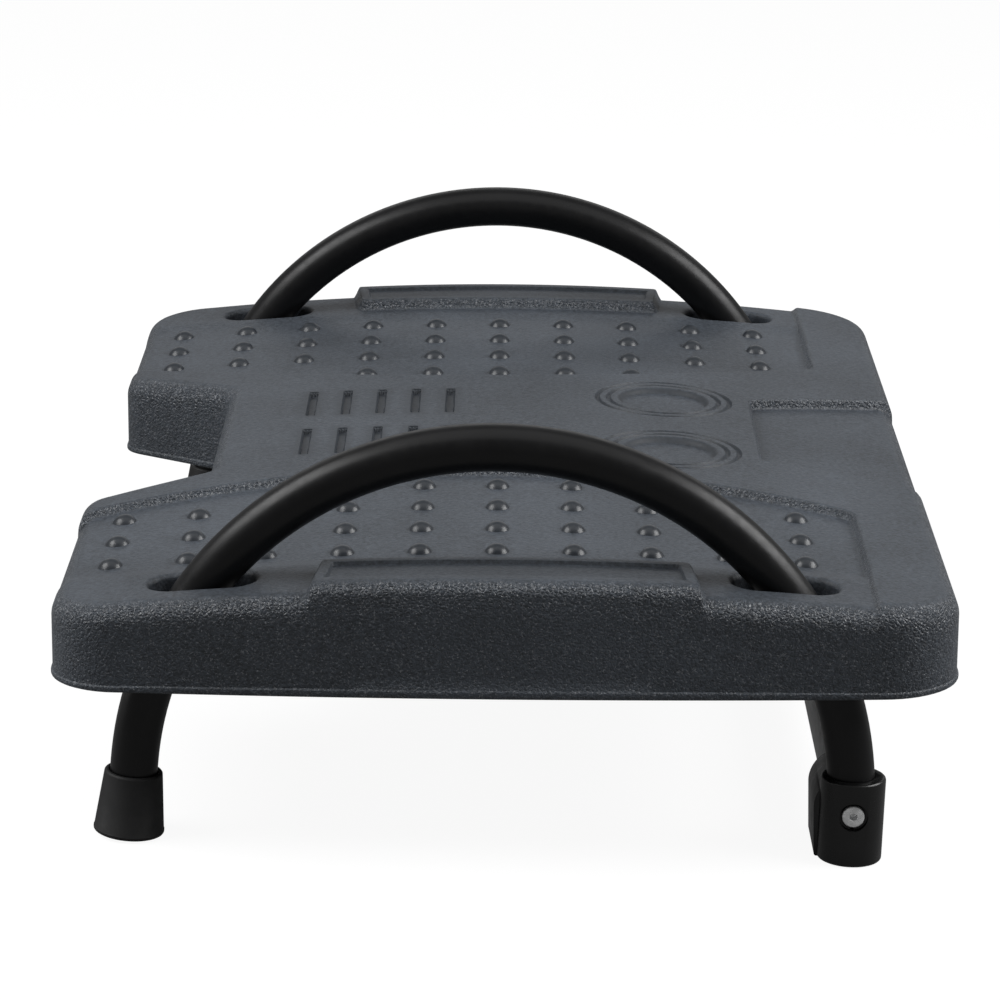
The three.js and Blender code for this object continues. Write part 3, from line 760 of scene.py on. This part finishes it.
def slitShape(points, height, grain):
    half = np.array((slits["width"], slits["length"])) / 2 - slits["corner"]
    for x, y in slitCentres():
        over = np.abs(points - (x, y)) - half
        gap = slits["corner"] - np.linalg.norm(np.maximum(over, 0), axis=1) - np.minimum(over.max(1), 0)
        depth = slits["depth"] * dentShare(gap, slits["run"])
        for nubX, nubY in nubCentres(x, y):
            reach = np.hypot(points[:, 0] - nubX, points[:, 1] - nubY)
            depth = depth * (1 - 0.85 * dentShare(slits["nub"] + 0.35 - reach, slits["nubRun"]))
        height = height - depth
        grain = np.where(gap > -0.4, grains["slit"], grain)
    return height, grain


def domeShape(points, height, grain):
    ball = domeBall()
    for x, y in domeCentres():
        reach = np.hypot(points[:, 0] - x, points[:, 1] - y)
        near = reach < domes["radius"] + 0.01
        cap = np.sqrt(ball ** 2 - np.minimum(reach[near], domes["radius"]) ** 2) - ball + domes["height"]
        height[near] += cap
        grain[near] = grains["dome"]
    return height, grain


def underShape(points):
    x, y = points.T
    edge = edgeDistance(points)
    skin = -tray["skin"]
    height = np.full(len(points), float(skin))
    margin = under["pocketMargin"]
    heelX = tray["notchDepth"] - tray["length"] / 2 + margin
    toeX = recess["innerX"] - margin
    inside = np.minimum.reduce((x - heelX, toeX - x, tread["waist"] / 2 - margin - np.abs(y)))
    height += under["pocket"] * smooth(inside / 3 + 1)
    draft, fillet = under["wallDraft"], under["fillet"]
    over = np.clip(tray["wall"] + draft + fillet - edge, 0, fillet)
    height -= fillet - np.sqrt(fillet ** 2 - over ** 2)
    steep = np.clip((edge - tray["wall"]) / draft, 0, 1)
    height = np.where(steep < 1, -tray["skirt"] + (skin - fillet + tray["skirt"]) * steep, height)

    def broughtDown(gap, foot):
        # The underside with its height at foot wherever gap is below 0
        share = np.clip(gap / under["draft"], 0, 1)
        return np.minimum(height, foot + (height - foot) * share)

    for at in ribPlaces("long"):
        height = broughtDown(np.abs(y - at) - under["ribHalf"], skin - under["ribDepth"])
    for at in ribPlaces("cross"):
        gap = np.maximum(np.abs(x - at), np.abs(y) - ribReach())
        height = broughtDown(gap - under["ribHalf"], skin - under["ribDepth"])
    height = broughtDown(slotDistance(points) - slots["wellWall"], -slots["wellDepth"])
    for bossX, bossY in bossCentres():
        reach = np.hypot(x - bossX, y - bossY)
        height = broughtDown(reach - under["bossRadius"], under["bossFoot"])
        share = np.clip((under["bossHole"] - reach) / 0.1, 0, 1)
        height = height + under["bossHoleDepth"] * share
    return height


def ribReach():
    return under["longPitch"] * (under["longCount"] - 1) / 2


def ribPlaces(kind):
    count = under[kind + "Count"]
    return [(i - (count - 1) / 2) * under[kind + "Pitch"] for i in range(count)]


def bossCentres():
    for end, _, y in slotCentres():
        for half in (-1, 1):
            yield end * under["bossX"] - tray["ahead"], y + half * under["bossSpacing"] / 2


class PlanPoints:
    # Points and fixed edges for one side of the tray, seen from above

    def __init__(self):
        self.points = []
        self.edges = []
        self.count = 0

    def add(self, points, fixed=False, closed=False):
        points = np.asarray(points, float).reshape(-1, 2)
        if not len(points):
            return
        if fixed:
            self.edges += [(self.count + i, self.count + i + 1) for i in range(len(points) - 1)]
            if closed:
                self.edges.append((self.count + len(points) - 1, self.count))
        self.points.append(points)
        self.count += len(points)

    def addBeside(self, name, offsets, mirror):
        # Rows of points along a line, dropping those that come nearer to it elsewhere
        line = lines[name]
        normals = leftNormals(line, False)
        for offset in offsets:
            row = line + normals * offset
            row = row[np.abs(distanceTo(row, line) - offset) < 0.05]
            row = row[edgeDistance(row) > 0.05]
            self.add(row)
            if mirror:
                self.add(row * (1, -1))

    def fill(self, spacing, clear):
        # An even field between the rows, away from all points so far
        taken = set(map(tuple, np.floor(np.concatenate(self.points) / clear).astype(int)))
        xs = np.arange(-tray["length"] / 2, tray["length"] / 2, spacing)
        ys = np.arange(-tray["width"] / 2, tray["width"] / 2, spacing * 0.866)
        field = np.array([(x + (i % 2) * spacing / 2, y) for i, y in enumerate(ys) for x in xs])
        cells = np.floor(field / clear).astype(int)
        free = [not any((a + i, b + j) in taken for i in (-1, 0, 1) for j in (-1, 0, 1)) for a, b in cells]
        self.add(field[free])

    def triangles(self):
        points = np.concatenate(self.points)
        inside = (edgeDistance(points) > -0.01) & (slotDistance(points) > -0.01)
        keep = np.cumsum(inside) - 1
        points = points[inside]
        edges = [(int(keep[a]), int(keep[b])) for a, b in self.edges if inside[a] and inside[b]]
        found = geometry.delaunay_2d_cdt([Vector(p) for p in points], edges, [], 0, 1e-5)
        spots = np.array([tuple(p) for p in found[0]])
        faces = np.array([face for face in found[2] if len(face) == 3])
        centres = spots[faces].mean(1)
        wanted = (edgeDistance(centres) > 0.005) & (slotDistance(centres) > 0.005)
        return spots, faces[wanted]


def slitPoints():
    for x, y in slitCentres():
        for inset in (-0.35, 0, 0.18, 0.36, 0.55, 0.9):
            halfX = slits["width"] / 2 - inset
            halfY = slits["length"] / 2 - inset
            radius = max(slits["corner"] - inset, 0.3)
            ends = ((-1, -1), (1, -1), (1, 1), (-1, 1))
            corners = [(x + i * halfX, y + j * halfY, radius) for i, j in ends]
            yield filled(roundedLine(corners, True, 30), 2.2, True)
        for centre in nubCentres(x, y):
            for radius in (0.2, 0.47, 0.72, 0.97):
                yield circle(centre, radius, 10)


def circle(centre, radius, count):
    angles = np.arange(count) * 2 * math.pi / count
    return np.stack((centre[0] + radius * np.cos(angles), centre[1] + radius * np.sin(angles)), axis=1)


def topPlan():
    plan = PlanPoints()
    edge = lines["tray"]
    normals = leftNormals(edge, True)
    plan.add(edge, True, True)
    rimTurn = np.radians(np.arange(12, 91, 11))
    for inset in [*(tray["rim"] * (1 - np.cos(rimTurn))), tray["rim"] + 0.6]:
        plan.add(edge + normals * inset)
    for _, x, y in slotCentres():
        plan.add(slotLine(x, y, 0, 24), True, True)
        for turn in np.radians((22, 44, 64, 82)):
            plan.add(slotLine(x, y, slots["lip"] * (1 - math.cos(turn)), 24))
        plan.add(slotLine(x, y, slots["lip"] + 0.5, 24))
    ball = domeBall()
    slope = math.asin(domes["radius"] / ball)
    for x, y in domeCentres():
        plan.add([(x, y)])
        for share in (0.2, 0.4, 0.6, 0.8):
            plan.add(circle((x, y), ball * math.sin(slope * share), 22))
        plan.add(circle((x, y), domes["radius"], 22), True, True)
        plan.add(circle((x, y), domes["radius"] + 0.4, 22))
    for row in slitPoints():
        plan.add(row)
    ringRows = np.concatenate((np.arange(14.5, 20.4, 0.8), np.arange(20.4, 30.5, 0.36)))
    for side in (-1, 1):
        for radius in ringRows:
            plan.add(circle((rings["x"], side * rings["spacing"] / 2), radius, 100))
    plan.addBeside("tread", np.linspace(-0.4, tread["run"] + 0.4, 9), True)
    plan.addBeside("rail", np.linspace(-rail["run"] - 0.3, 0.3, 8), True)
    plan.addBeside("rail", rail["border"] + np.linspace(-0.2, rail["channelRun"] + 0.2, 5), True)
    plan.addBeside("recess", np.linspace(-0.4, recess["run"] + 0.4, 9), False)
    outer = lines["tray"][np.abs(lines["tray"][:, 0]) < rail["outerHalf"] + 4]
    channelEdge = rail["rim"] + rail["outerBorder"]
    for inset in np.linspace(channelEdge - 0.2, channelEdge + rail["channelRun"] + 0.2, 5):
        plan.add(outer - np.sign(outer) * (0, inset))
    plan.fill(tray["fillSpacing"], 1.7)
    return plan


def underPlan(loops):
    plan = PlanPoints()
    for loop in loops:
        plan.add(loop, True, True)
    edge = lines["tray"][::3]
    normals = leftNormals(edge, True)
    for inset in (tray["wall"], tray["wall"] + under["wallDraft"]):
        plan.add(edge + normals * inset, True, True)
    for inset in (4.3, 5.1, 6.2, 7.9):
        plan.add(edge + normals * inset)
    for _, x, y in slotCentres():
        for growth in (slots["wellWall"], slots["wellWall"] + under["draft"]):
            plan.add(slotLine(x, y, growth, 12), True, True)
    hole, boss = under["bossHole"], under["bossRadius"]
    for centre in bossCentres():
        for radius in (hole - 0.1, hole, boss, boss + under["draft"]):
            plan.add(circle(centre, radius, 24), True, True)
    width = under["ribHalf"] + under["draft"]
    xs = np.arange(-tray["length"] / 2 + 0.5, tray["length"] / 2, 4.0)
    ys = np.linspace(-ribReach(), ribReach(), 97)
    for offset in (-width, -under["ribHalf"], under["ribHalf"], width):
        for at in ribPlaces("long"):
            ribRows(plan, np.column_stack((xs, np.full(len(xs), at + offset))))
        for at in ribPlaces("cross"):
            ribRows(plan, np.column_stack((np.full(len(ys), at + offset), ys)))
    plan.fill(9, 2.5)
    return plan


def ribRows(plan, row):
    inside = edgeDistance(row) > tray["wall"] + 0.7
    breaks = np.flatnonzero(np.diff(inside.astype(int)))
    for part in np.split(np.arange(len(row)), breaks + 1):
        if inside[part[0]]:
            plan.add(row[part], True)


def boundaryLoops(faces):
    # Loops of points along the edges that only one face uses
    seen = dict.fromkeys(edge for a, b, c in faces.tolist() for edge in ((a, b), (b, c), (c, a)))
    following = {a: b for a, b in seen if (b, a) not in seen}
    loops = []
    while following:
        here = next(iter(following))
        loop = []
        while here in following:
            loop.append(here)
            here = following.pop(here)
        loops.append(loop)
    return loops


def crownFall(x, z):
    fade = np.clip((z + tray["skirt"]) / (tray["skirt"] - tray["crownFoot"]), 0, 1)
    return tray["crownDrop"] * ((x - tray["crownCrest"]) / tray["crownReach"]) ** 2 * fade


def trayToFrame(points):
    # Crowned, tilted about the arc centre and placed, in metres
    x, y, z = points.T
    z = z - crownFall(x, z) + tray["rise"]
    x = x + tray["ahead"]
    c, s = math.cos(math.radians(tray["tilt"])), math.sin(math.radians(tray["tilt"]))
    centre = np.array(frame["joints"][0]["pos_m"])
    return np.stack((x * c - z * s, y, x * s + z * c), axis=1) * mm + centre


def wallRows(top, loop, rows):
    # Rings of points below a loop, each moved out by its own amount
    line = top[loop, :2]
    outwards = -leftNormals(line, True)
    return [np.column_stack((line + outwards * out, np.full(len(loop), height))) for height, out in rows]


def makeTray():
    spots, faces = topPlan().triangles()
    heights, grain = topShape(spots)
    top = np.column_stack((spots, heights))
    loops = boundaryLoops(faces)
    loops.sort(key=len, reverse=True)
    points, weights, polygons = [top], [grain], [faces.tolist()]
    count = len(top)
    foot, lip = -tray["skirt"], tray["lip"]
    lipTop = foot + tray["lipHeight"]
    skirtRows = [(height, 0) for height in (-9.5, -16, -23, -30, lipTop + 0.3)]
    skirtRows += [(lipTop, lip * 0.3), (lipTop - 0.35, lip * 0.85), (lipTop - 0.8, lip)]
    skirtRows += [(foot + 0.8, lip), (foot + 0.3, lip * 0.75), (foot, 0)]
    slotRows = [(-4.5, 0), (-8, 0), (-slots["wellDepth"], 0)]
    for loop in loops:
        outer = loop is loops[0]
        before = np.array(loop)
        for ring in wallRows(top, loop, skirtRows if outer else slotRows):
            now = count + np.arange(len(ring))
            around = np.roll(np.arange(len(ring)), -1)
            polygons.append(np.stack((before, now, now[around], before[around]), axis=1).tolist())
            points.append(ring)
            weights.append(np.full(len(ring), grains["wall" if outer else "well"]))
            before = now
            count += len(ring)
    spots, faces = underPlan([top[loop, :2] for loop in loops]).triangles()
    points.append(np.column_stack((spots, underShape(spots))))
    weights.append(np.full(len(spots), grains["under"]))
    polygons.append((faces[:, ::-1] + count).tolist())
    mesh = bpy.data.meshes.new("tray_shell")
    mesh.from_pydata(trayToFrame(np.concatenate(points)).tolist(), [], [f for part in polygons for f in part])
    attribute = mesh.attributes.new("grain", "FLOAT", "POINT")
    attribute.data.foreach_set("value", np.concatenate(weights).astype(np.float32))
    shell = bpy.data.objects.new("tray_shell", mesh)
    bpy.context.scene.collection.objects.link(shell)
    editPiece(shell)
    bpy.ops.mesh.select_all(action="SELECT")
    bpy.ops.mesh.remove_doubles(threshold=0.002 * mm)
    bpy.ops.mesh.normals_make_consistent(inside=False)
    leaveEdit()
    dress(shell, "tray_shell", "tray_plastic", "tray", "tilting_tray", 34)
    print("tray made,", len(mesh.polygons), "faces")


makeTray()


# Bent tubes, caps and feet, in metres from here on

arcCentre = Vector(frame["joints"][0]["pos_m"])
sideways = (math.pi / 2, 0, 0)
bentTube = {
    "arcRadius": 0.1355,
    "radius": 0.009,
    "wall": 0.0015,
    "lean": math.radians(3.8),
    "tail": 0.02482,          # straight part past the bend
    "spacing": 0.4328,
    "screwHole": 0.003,
    "sides": 64,
    "bendSteps": 110,
}


def onBothSides(make):
    for name, side in sides.items():
        make(name, side)


def legAxis(end):
    # Up along a leg's straight part, end is -1 at the heel and 1 at the toe
    return Vector((-end * math.sin(bentTube["lean"]), 0, math.cos(bentTube["lean"])))


def legPlace(side, end, straight):
    # A point on a leg's straight part, counted down from the bend
    lean = bentTube["lean"]
    x = bentTube["arcRadius"] * math.cos(lean) + straight * math.sin(lean)
    z = bentTube["arcRadius"] * math.sin(lean) - straight * math.cos(lean)
    return arcCentre + Vector((end * x, side * bentTube["spacing"] / 2, z))


def makeBentTube(name, side):
    values = bentTube
    lean = values["lean"]
    deselectAll()
    bpy.ops.mesh.primitive_circle_add(
        vertices=values["sides"], radius=values["radius"], location=legPlace(side, -1, values["tail"]),
        rotation=(0, lean, 0))
    tube = bpy.context.object
    applyPlace(tube)
    editPiece(tube)
    bpy.ops.mesh.select_all(action="SELECT")
    pushFaces(legAxis(-1) * values["tail"])
    centre = arcCentre + Vector((0, side * values["spacing"] / 2, 0))
    bpy.ops.mesh.spin(
        steps=values["bendSteps"], angle=-(math.pi - 2 * lean), center=centre, axis=(0, 1, 0))
    pushFaces(-legAxis(1) * values["tail"])
    bpy.ops.mesh.select_all(action="SELECT")
    bpy.ops.mesh.remove_doubles(threshold=1e-6)
    bpy.ops.mesh.normals_make_consistent(inside=False)
    leaveEdit()
    applyModifier(tube, "SOLIDIFY", thickness=values["wall"], offset=-1)
    screw = middle(name + "_foot_screw")
    crossing = (screw.x, tube.data.vertices[0].co.y, screw.z)
    cutBy(tube, turnedAlong(values["screwHole"], 0.05, crossing, sideways, 32))
    dress(tube, name + "_bent_tube", "black_tube", name + "_arc_tube")


onBothSides(makeBentTube)
print("bent tubes made")


heelCap = {
    "length": 0.0242,
    "topRadius": 0.01095,
    "footRadius": 0.0132,
    "floor": 0.0035,
    "bore": 0.00925,
    "sole": 0.0016,           # height of the slightly wider sole ring
    "soleRadius": 0.0134,
    "mouthEdge": 0.0009,
    "boreEdge": 0.0005,
    "soleEdge": 0.0008,
    "seatGap": 0.0003,        # between a leg's end and the floor of its cap or foot
}


def makeHeelCap(name, side):
    values = heelCap
    axis = legAxis(-1)
    foot = legPlace(side, -1, bentTube["tail"]) - axis * (values["floor"] + values["seatGap"])
    cap = turnedAlong(
        values["footRadius"], values["length"] - values["sole"],
        foot + axis * (values["length"] + values["sole"]) / 2, (0, bentTube["lean"], 0), 96,
        values["topRadius"])
    editPiece(cap)
    pickFaces(cap, lambda place, normal: normal.dot(axis) < -0.9)
    step = 0.0002
    pushFaces(-axis * step)
    grow = values["soleRadius"] / values["footRadius"]
    soleTop = axis * (values["sole"] - step)
    bpy.ops.transform.resize(value=(grow, grow, grow), center_override=foot + soleTop)
    pushFaces(-soleTop)
    pickFaces(cap, lambda place, normal: normal.dot(axis) > 0.9)
    bpy.ops.mesh.inset(thickness=values["topRadius"] - values["bore"])
    pushFaces(-axis * (values["length"] - values["floor"]))

    def onRing(a, b, height, radius):
        for end in (a, b):
            up = (end - foot).dot(axis)
            if abs(up - height) > 0.0001 or abs((end - foot - axis * up).length - radius) > 0.0003:
                return False
        return True

    rims = (
        (values["length"], values["topRadius"], values["mouthEdge"], 5),
        (values["length"], values["bore"], values["boreEdge"], 3),
        (0, values["soleRadius"], values["soleEdge"], 4),
    )
    for height, radius, width, segments in rims:
        bevelEdges(cap, width, segments, lambda a, b: onRing(a, b, height, radius))
    leaveEdit()
    dress(cap, name + "_rubber_cap", "cap_rubber", name + "_heel_cap", angle=40)


onBothSides(makeHeelCap)
print("heel caps made")


toeFoot = {
    "radius": 0.0123,
    "height": 0.033,
    "edge": 0.0013,
    "splay": 0.136,
    "sleeveRadius": 0.0127,
    "sleeveShift": 0.0015,    # towards the heel
    "sleeveReach": 0.031,
    "sleeveFoot": 0.0116,
    "sleeveEdge": 0.0008,
    "crossHeight": 0.02,
    "crossX": 0.13583,        # from the arc centre
    "bore": 0.0093,
    "boreStart": 0.0112,      # of the cross tube's bore, in from the leg's middle
    "screwHole": 0.003,
    "counterbore": 0.0055,
    "seat": 0.0093,           # of the screw's head, out from the leg's middle
}


def crossPlace(side, inwards):
    # A point on the cross tube's line, counted from the leg's middle towards the middle of the footrest
    y = side * (bentTube["spacing"] / 2 - inwards)
    return Vector((arcCentre.x + toeFoot["crossX"], y, toeFoot["crossHeight"]))


def makePost(side):
    values = toeFoot
    foot = Vector((arcCentre.x + values["splay"], side * bentTube["spacing"] / 2, 0))
    centre = foot + Vector((0, 0, values["height"] / 2))
    post = turnedAlong(values["radius"], values["height"], centre, (0, 0, 0), 96)
    editPiece(post)
    bevelEdges(post, values["edge"], 5, lambda a, b: abs(a.z - b.z) < 1e-6)
    leaveEdit()
    return post


def makeSleeve(side):
    values = toeFoot
    centre = crossPlace(side, values["sleeveReach"] / 2) - Vector((values["sleeveShift"], 0, 0))
    sleeve = turnedAlong(values["sleeveRadius"], values["sleeveReach"], centre, sideways, 80)
    editPiece(sleeve)
    bpy.ops.mesh.select_all(action="SELECT")
    bpy.ops.mesh.bisect(plane_co=centre, plane_no=(0, 0, 1), use_fill=True, clear_inner=True)
    pickFaces(sleeve, lambda place, normal: abs(place.z - centre.z) < 1e-5)
    pushFaces((0, 0, -values["crossHeight"]))
    narrow = values["sleeveFoot"] / values["sleeveRadius"]
    bpy.ops.transform.resize(value=(narrow, 1, 1), center_override=(centre.x, centre.y, 0))
    inner = crossPlace(side, values["sleeveReach"]).y
    edge = values["sleeveEdge"]
    bevelEdges(sleeve, edge, 4, lambda a, b: abs(a.y - inner) < 1e-5 and abs(b.y - inner) < 1e-5)
    bevelEdges(sleeve, edge, 3, lambda a, b: a.z < 1e-5 and b.z < 1e-5 and abs(a.x - b.x) < 1e-5)
    leaveEdit()
    return sleeve


def makeToeFoot(name, side):
    values = toeFoot
    foot = makePost(side)
    cutBy(foot, makeSleeve(side), "UNION")
    axis = legAxis(1)
    seat = legPlace(side, 1, bentTube["tail"]) - axis * heelCap["seatGap"]
    cutBy(foot, turnedAlong(values["bore"], 0.06, seat + axis * 0.03, (0, -bentTube["lean"], 0), 96))
    cutBy(foot, turnedAlong(values["bore"], 0.04, crossPlace(side, values["boreStart"] + 0.02), sideways, 96))
    cutBy(foot, turnedAlong(values["screwHole"], 0.06, crossPlace(side, 0), sideways, 40))
    recessed = crossPlace(side, -values["seat"] - 0.01)
    cutBy(foot, turnedAlong(values["counterbore"], 0.02, recessed, sideways, 56))
    softenEdges(foot, 0.00035)
    dress(foot, name + "_moulded_foot", "foot_plastic", name + "_toe_foot", angle=32)


onBothSides(makeToeFoot)
print("toe feet made")


footScrew = {
    "head": 0.00425,
    "headHeight": 0.0019,
    "headEdge": 0.0006,
    "shank": 0.0025,
    "length": 0.035,
    "key": 0.0016,
    "keyDepth": 0.004,
    "overlap": 0.0005,        # of the shank and the head before they are joined
}


def makeFootScrew(name, side):
    values = footScrew
    seat, headHeight, overlap = -toeFoot["seat"], values["headHeight"], values["overlap"]
    head = turnedAlong(values["head"], headHeight, crossPlace(side, seat - headHeight / 2), sideways, 64)
    outer = crossPlace(side, seat - headHeight).y
    editPiece(head)
    bevelEdges(head, values["headEdge"], 4, lambda a, b: abs(a.y - outer) < 1e-6 and abs(b.y - outer) < 1e-6)
    leaveEdit()
    centre = crossPlace(side, seat + values["length"] / 2 - overlap)
    cutBy(head, turnedAlong(values["shank"], values["length"] + 2 * overlap, centre, sideways, 48), "UNION")
    key = turnedAlong(values["key"], values["keyDepth"] * 2, crossPlace(side, seat - headHeight), sideways, 6)
    cutBy(head, key)
    softenEdges(head, 0.00012)
    dress(head, name + "_socket_screw", "screw_steel", name + "_foot_screw", angle=32)


onBothSides(makeFootScrew)


crossTube = {"radius": 0.009, "wall": 0.0015}


def makeCrossTube():
    low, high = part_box("cross_tube")
    tube = turnedAlong(crossTube["radius"], high.y - low.y, middle("cross_tube"), sideways, 72)
    editPiece(tube)
    pickFaces(tube, lambda place, normal: abs(normal.y) > 0.9)
    bpy.ops.mesh.delete(type="ONLY_FACE")
    leaveEdit()
    applyModifier(tube, "SOLIDIFY", thickness=crossTube["wall"], offset=-1)
    dress(tube, "cross_bar", "grey_tube", "cross_tube")


makeCrossTube()
print("screws and cross tube made")


# CAD nodes that stay, with their own finishes

for part in frame["record"]["subparts"]:
    node = frame["nodes"][part["node"]]
    node.data.materials.clear()
    node.data.materials.append(finishes[part["material_slot"]])


# Floor and light

stageValues = {
    "floorSize": 24,
    "floorPlace": (0, 6, -0.0002),
    "floorGrey": 0.12,        # which takes the object's shadow
    "floorGlow": 0.93,        # of the white that whiteShown lets through
    "worldLevel": 0.1,
    "mirrorShare": 0.15,
    "lampCentre": (0, 0, 0.08),
}
lampValues = {
    "left": {"way": (-0.7, -0.15, 0.66), "size": (1.1, 0.7), "power": 17},
    "right": {"way": (0.76, -0.1, 0.56), "size": (1.2, 0.7), "power": 21},
    "top": {"way": (0.0, -0.2, 1.0), "size": (1.8, 1.5), "power": 6},
    "back": {"way": (0.0, 0.93, 0.42), "size": (2.6, 0.8), "power": 4, "away": 2.4},
    "low": {"way": (-0.98, -0.05, 0.09), "size": (0.5, 0.14), "power": 1.5},
}


def whiteShown(tree):
    # The camera and glass see the white backdrop in full, mirroring surfaces a share of it
    path = tree.nodes.new("ShaderNodeLightPath")
    mirrored = tree.nodes.new("ShaderNodeMath")
    mirrored.operation = "MULTIPLY_ADD"
    mirrored.inputs[1].default_value = stageValues["mirrorShare"]
    tree.links.new(path.outputs["Is Glossy Ray"], mirrored.inputs[0])
    tree.links.new(path.outputs["Is Camera Ray"], mirrored.inputs[2])
    shown = tree.nodes.new("ShaderNodeMath")
    shown.operation = "MAXIMUM"
    tree.links.new(mirrored.outputs[0], shown.inputs[0])
    tree.links.new(path.outputs["Is Transmission Ray"], shown.inputs[1])
    return shown.outputs[0]


def makeFloor():
    deselectAll()
    bpy.ops.mesh.primitive_plane_add(size=stageValues["floorSize"], location=stageValues["floorPlace"])
    floor = bpy.context.object
    floor.name = "floor"
    finish = Finish("white floor", [stageValues["floorGrey"]] * 3, 1, specular=0)
    finish.setInput("Emission Color", (1, 1, 1, 1))
    glow = finish.math("MULTIPLY", whiteShown(finish.tree), stageValues["floorGlow"])
    finish.setInput("Emission Strength", glow)
    floor.data.materials.append(finish.material)


def makeWorld():
    world = bpy.data.worlds.new("studio")
    world.use_nodes = True
    tree = world.node_tree
    background = tree.nodes["Background"]
    background.inputs["Color"].default_value = (1, 1, 1, 1)
    level = tree.nodes.new("ShaderNodeMapRange")
    level.inputs["To Min"].default_value = stageValues["worldLevel"]
    tree.links.new(whiteShown(tree), level.inputs["Value"])
    tree.links.new(level.outputs["Result"], background.inputs["Strength"])
    bpy.context.scene.world = world


def makeLamp(name, way, size, power, away=1.6):
    lamp = bpy.data.objects.new(name + "_lamp", bpy.data.lights.new(name + "_lamp", "AREA"))
    lamp.data.shape = "RECTANGLE"
    lamp.data.size, lamp.data.size_y = size
    lamp.data.energy = power
    lamp.location = Vector(stageValues["lampCentre"]) + Vector(way).normalized() * away
    lamp.rotation_euler = Vector(way).to_track_quat("Z", "Y").to_euler()
    bpy.context.scene.collection.objects.link(lamp)


makeFloor()
makeWorld()
for name, values in lampValues.items():
    makeLamp(name, **values)
bpy.context.scene.view_settings.view_transform = "Standard"
print("floor and light made")
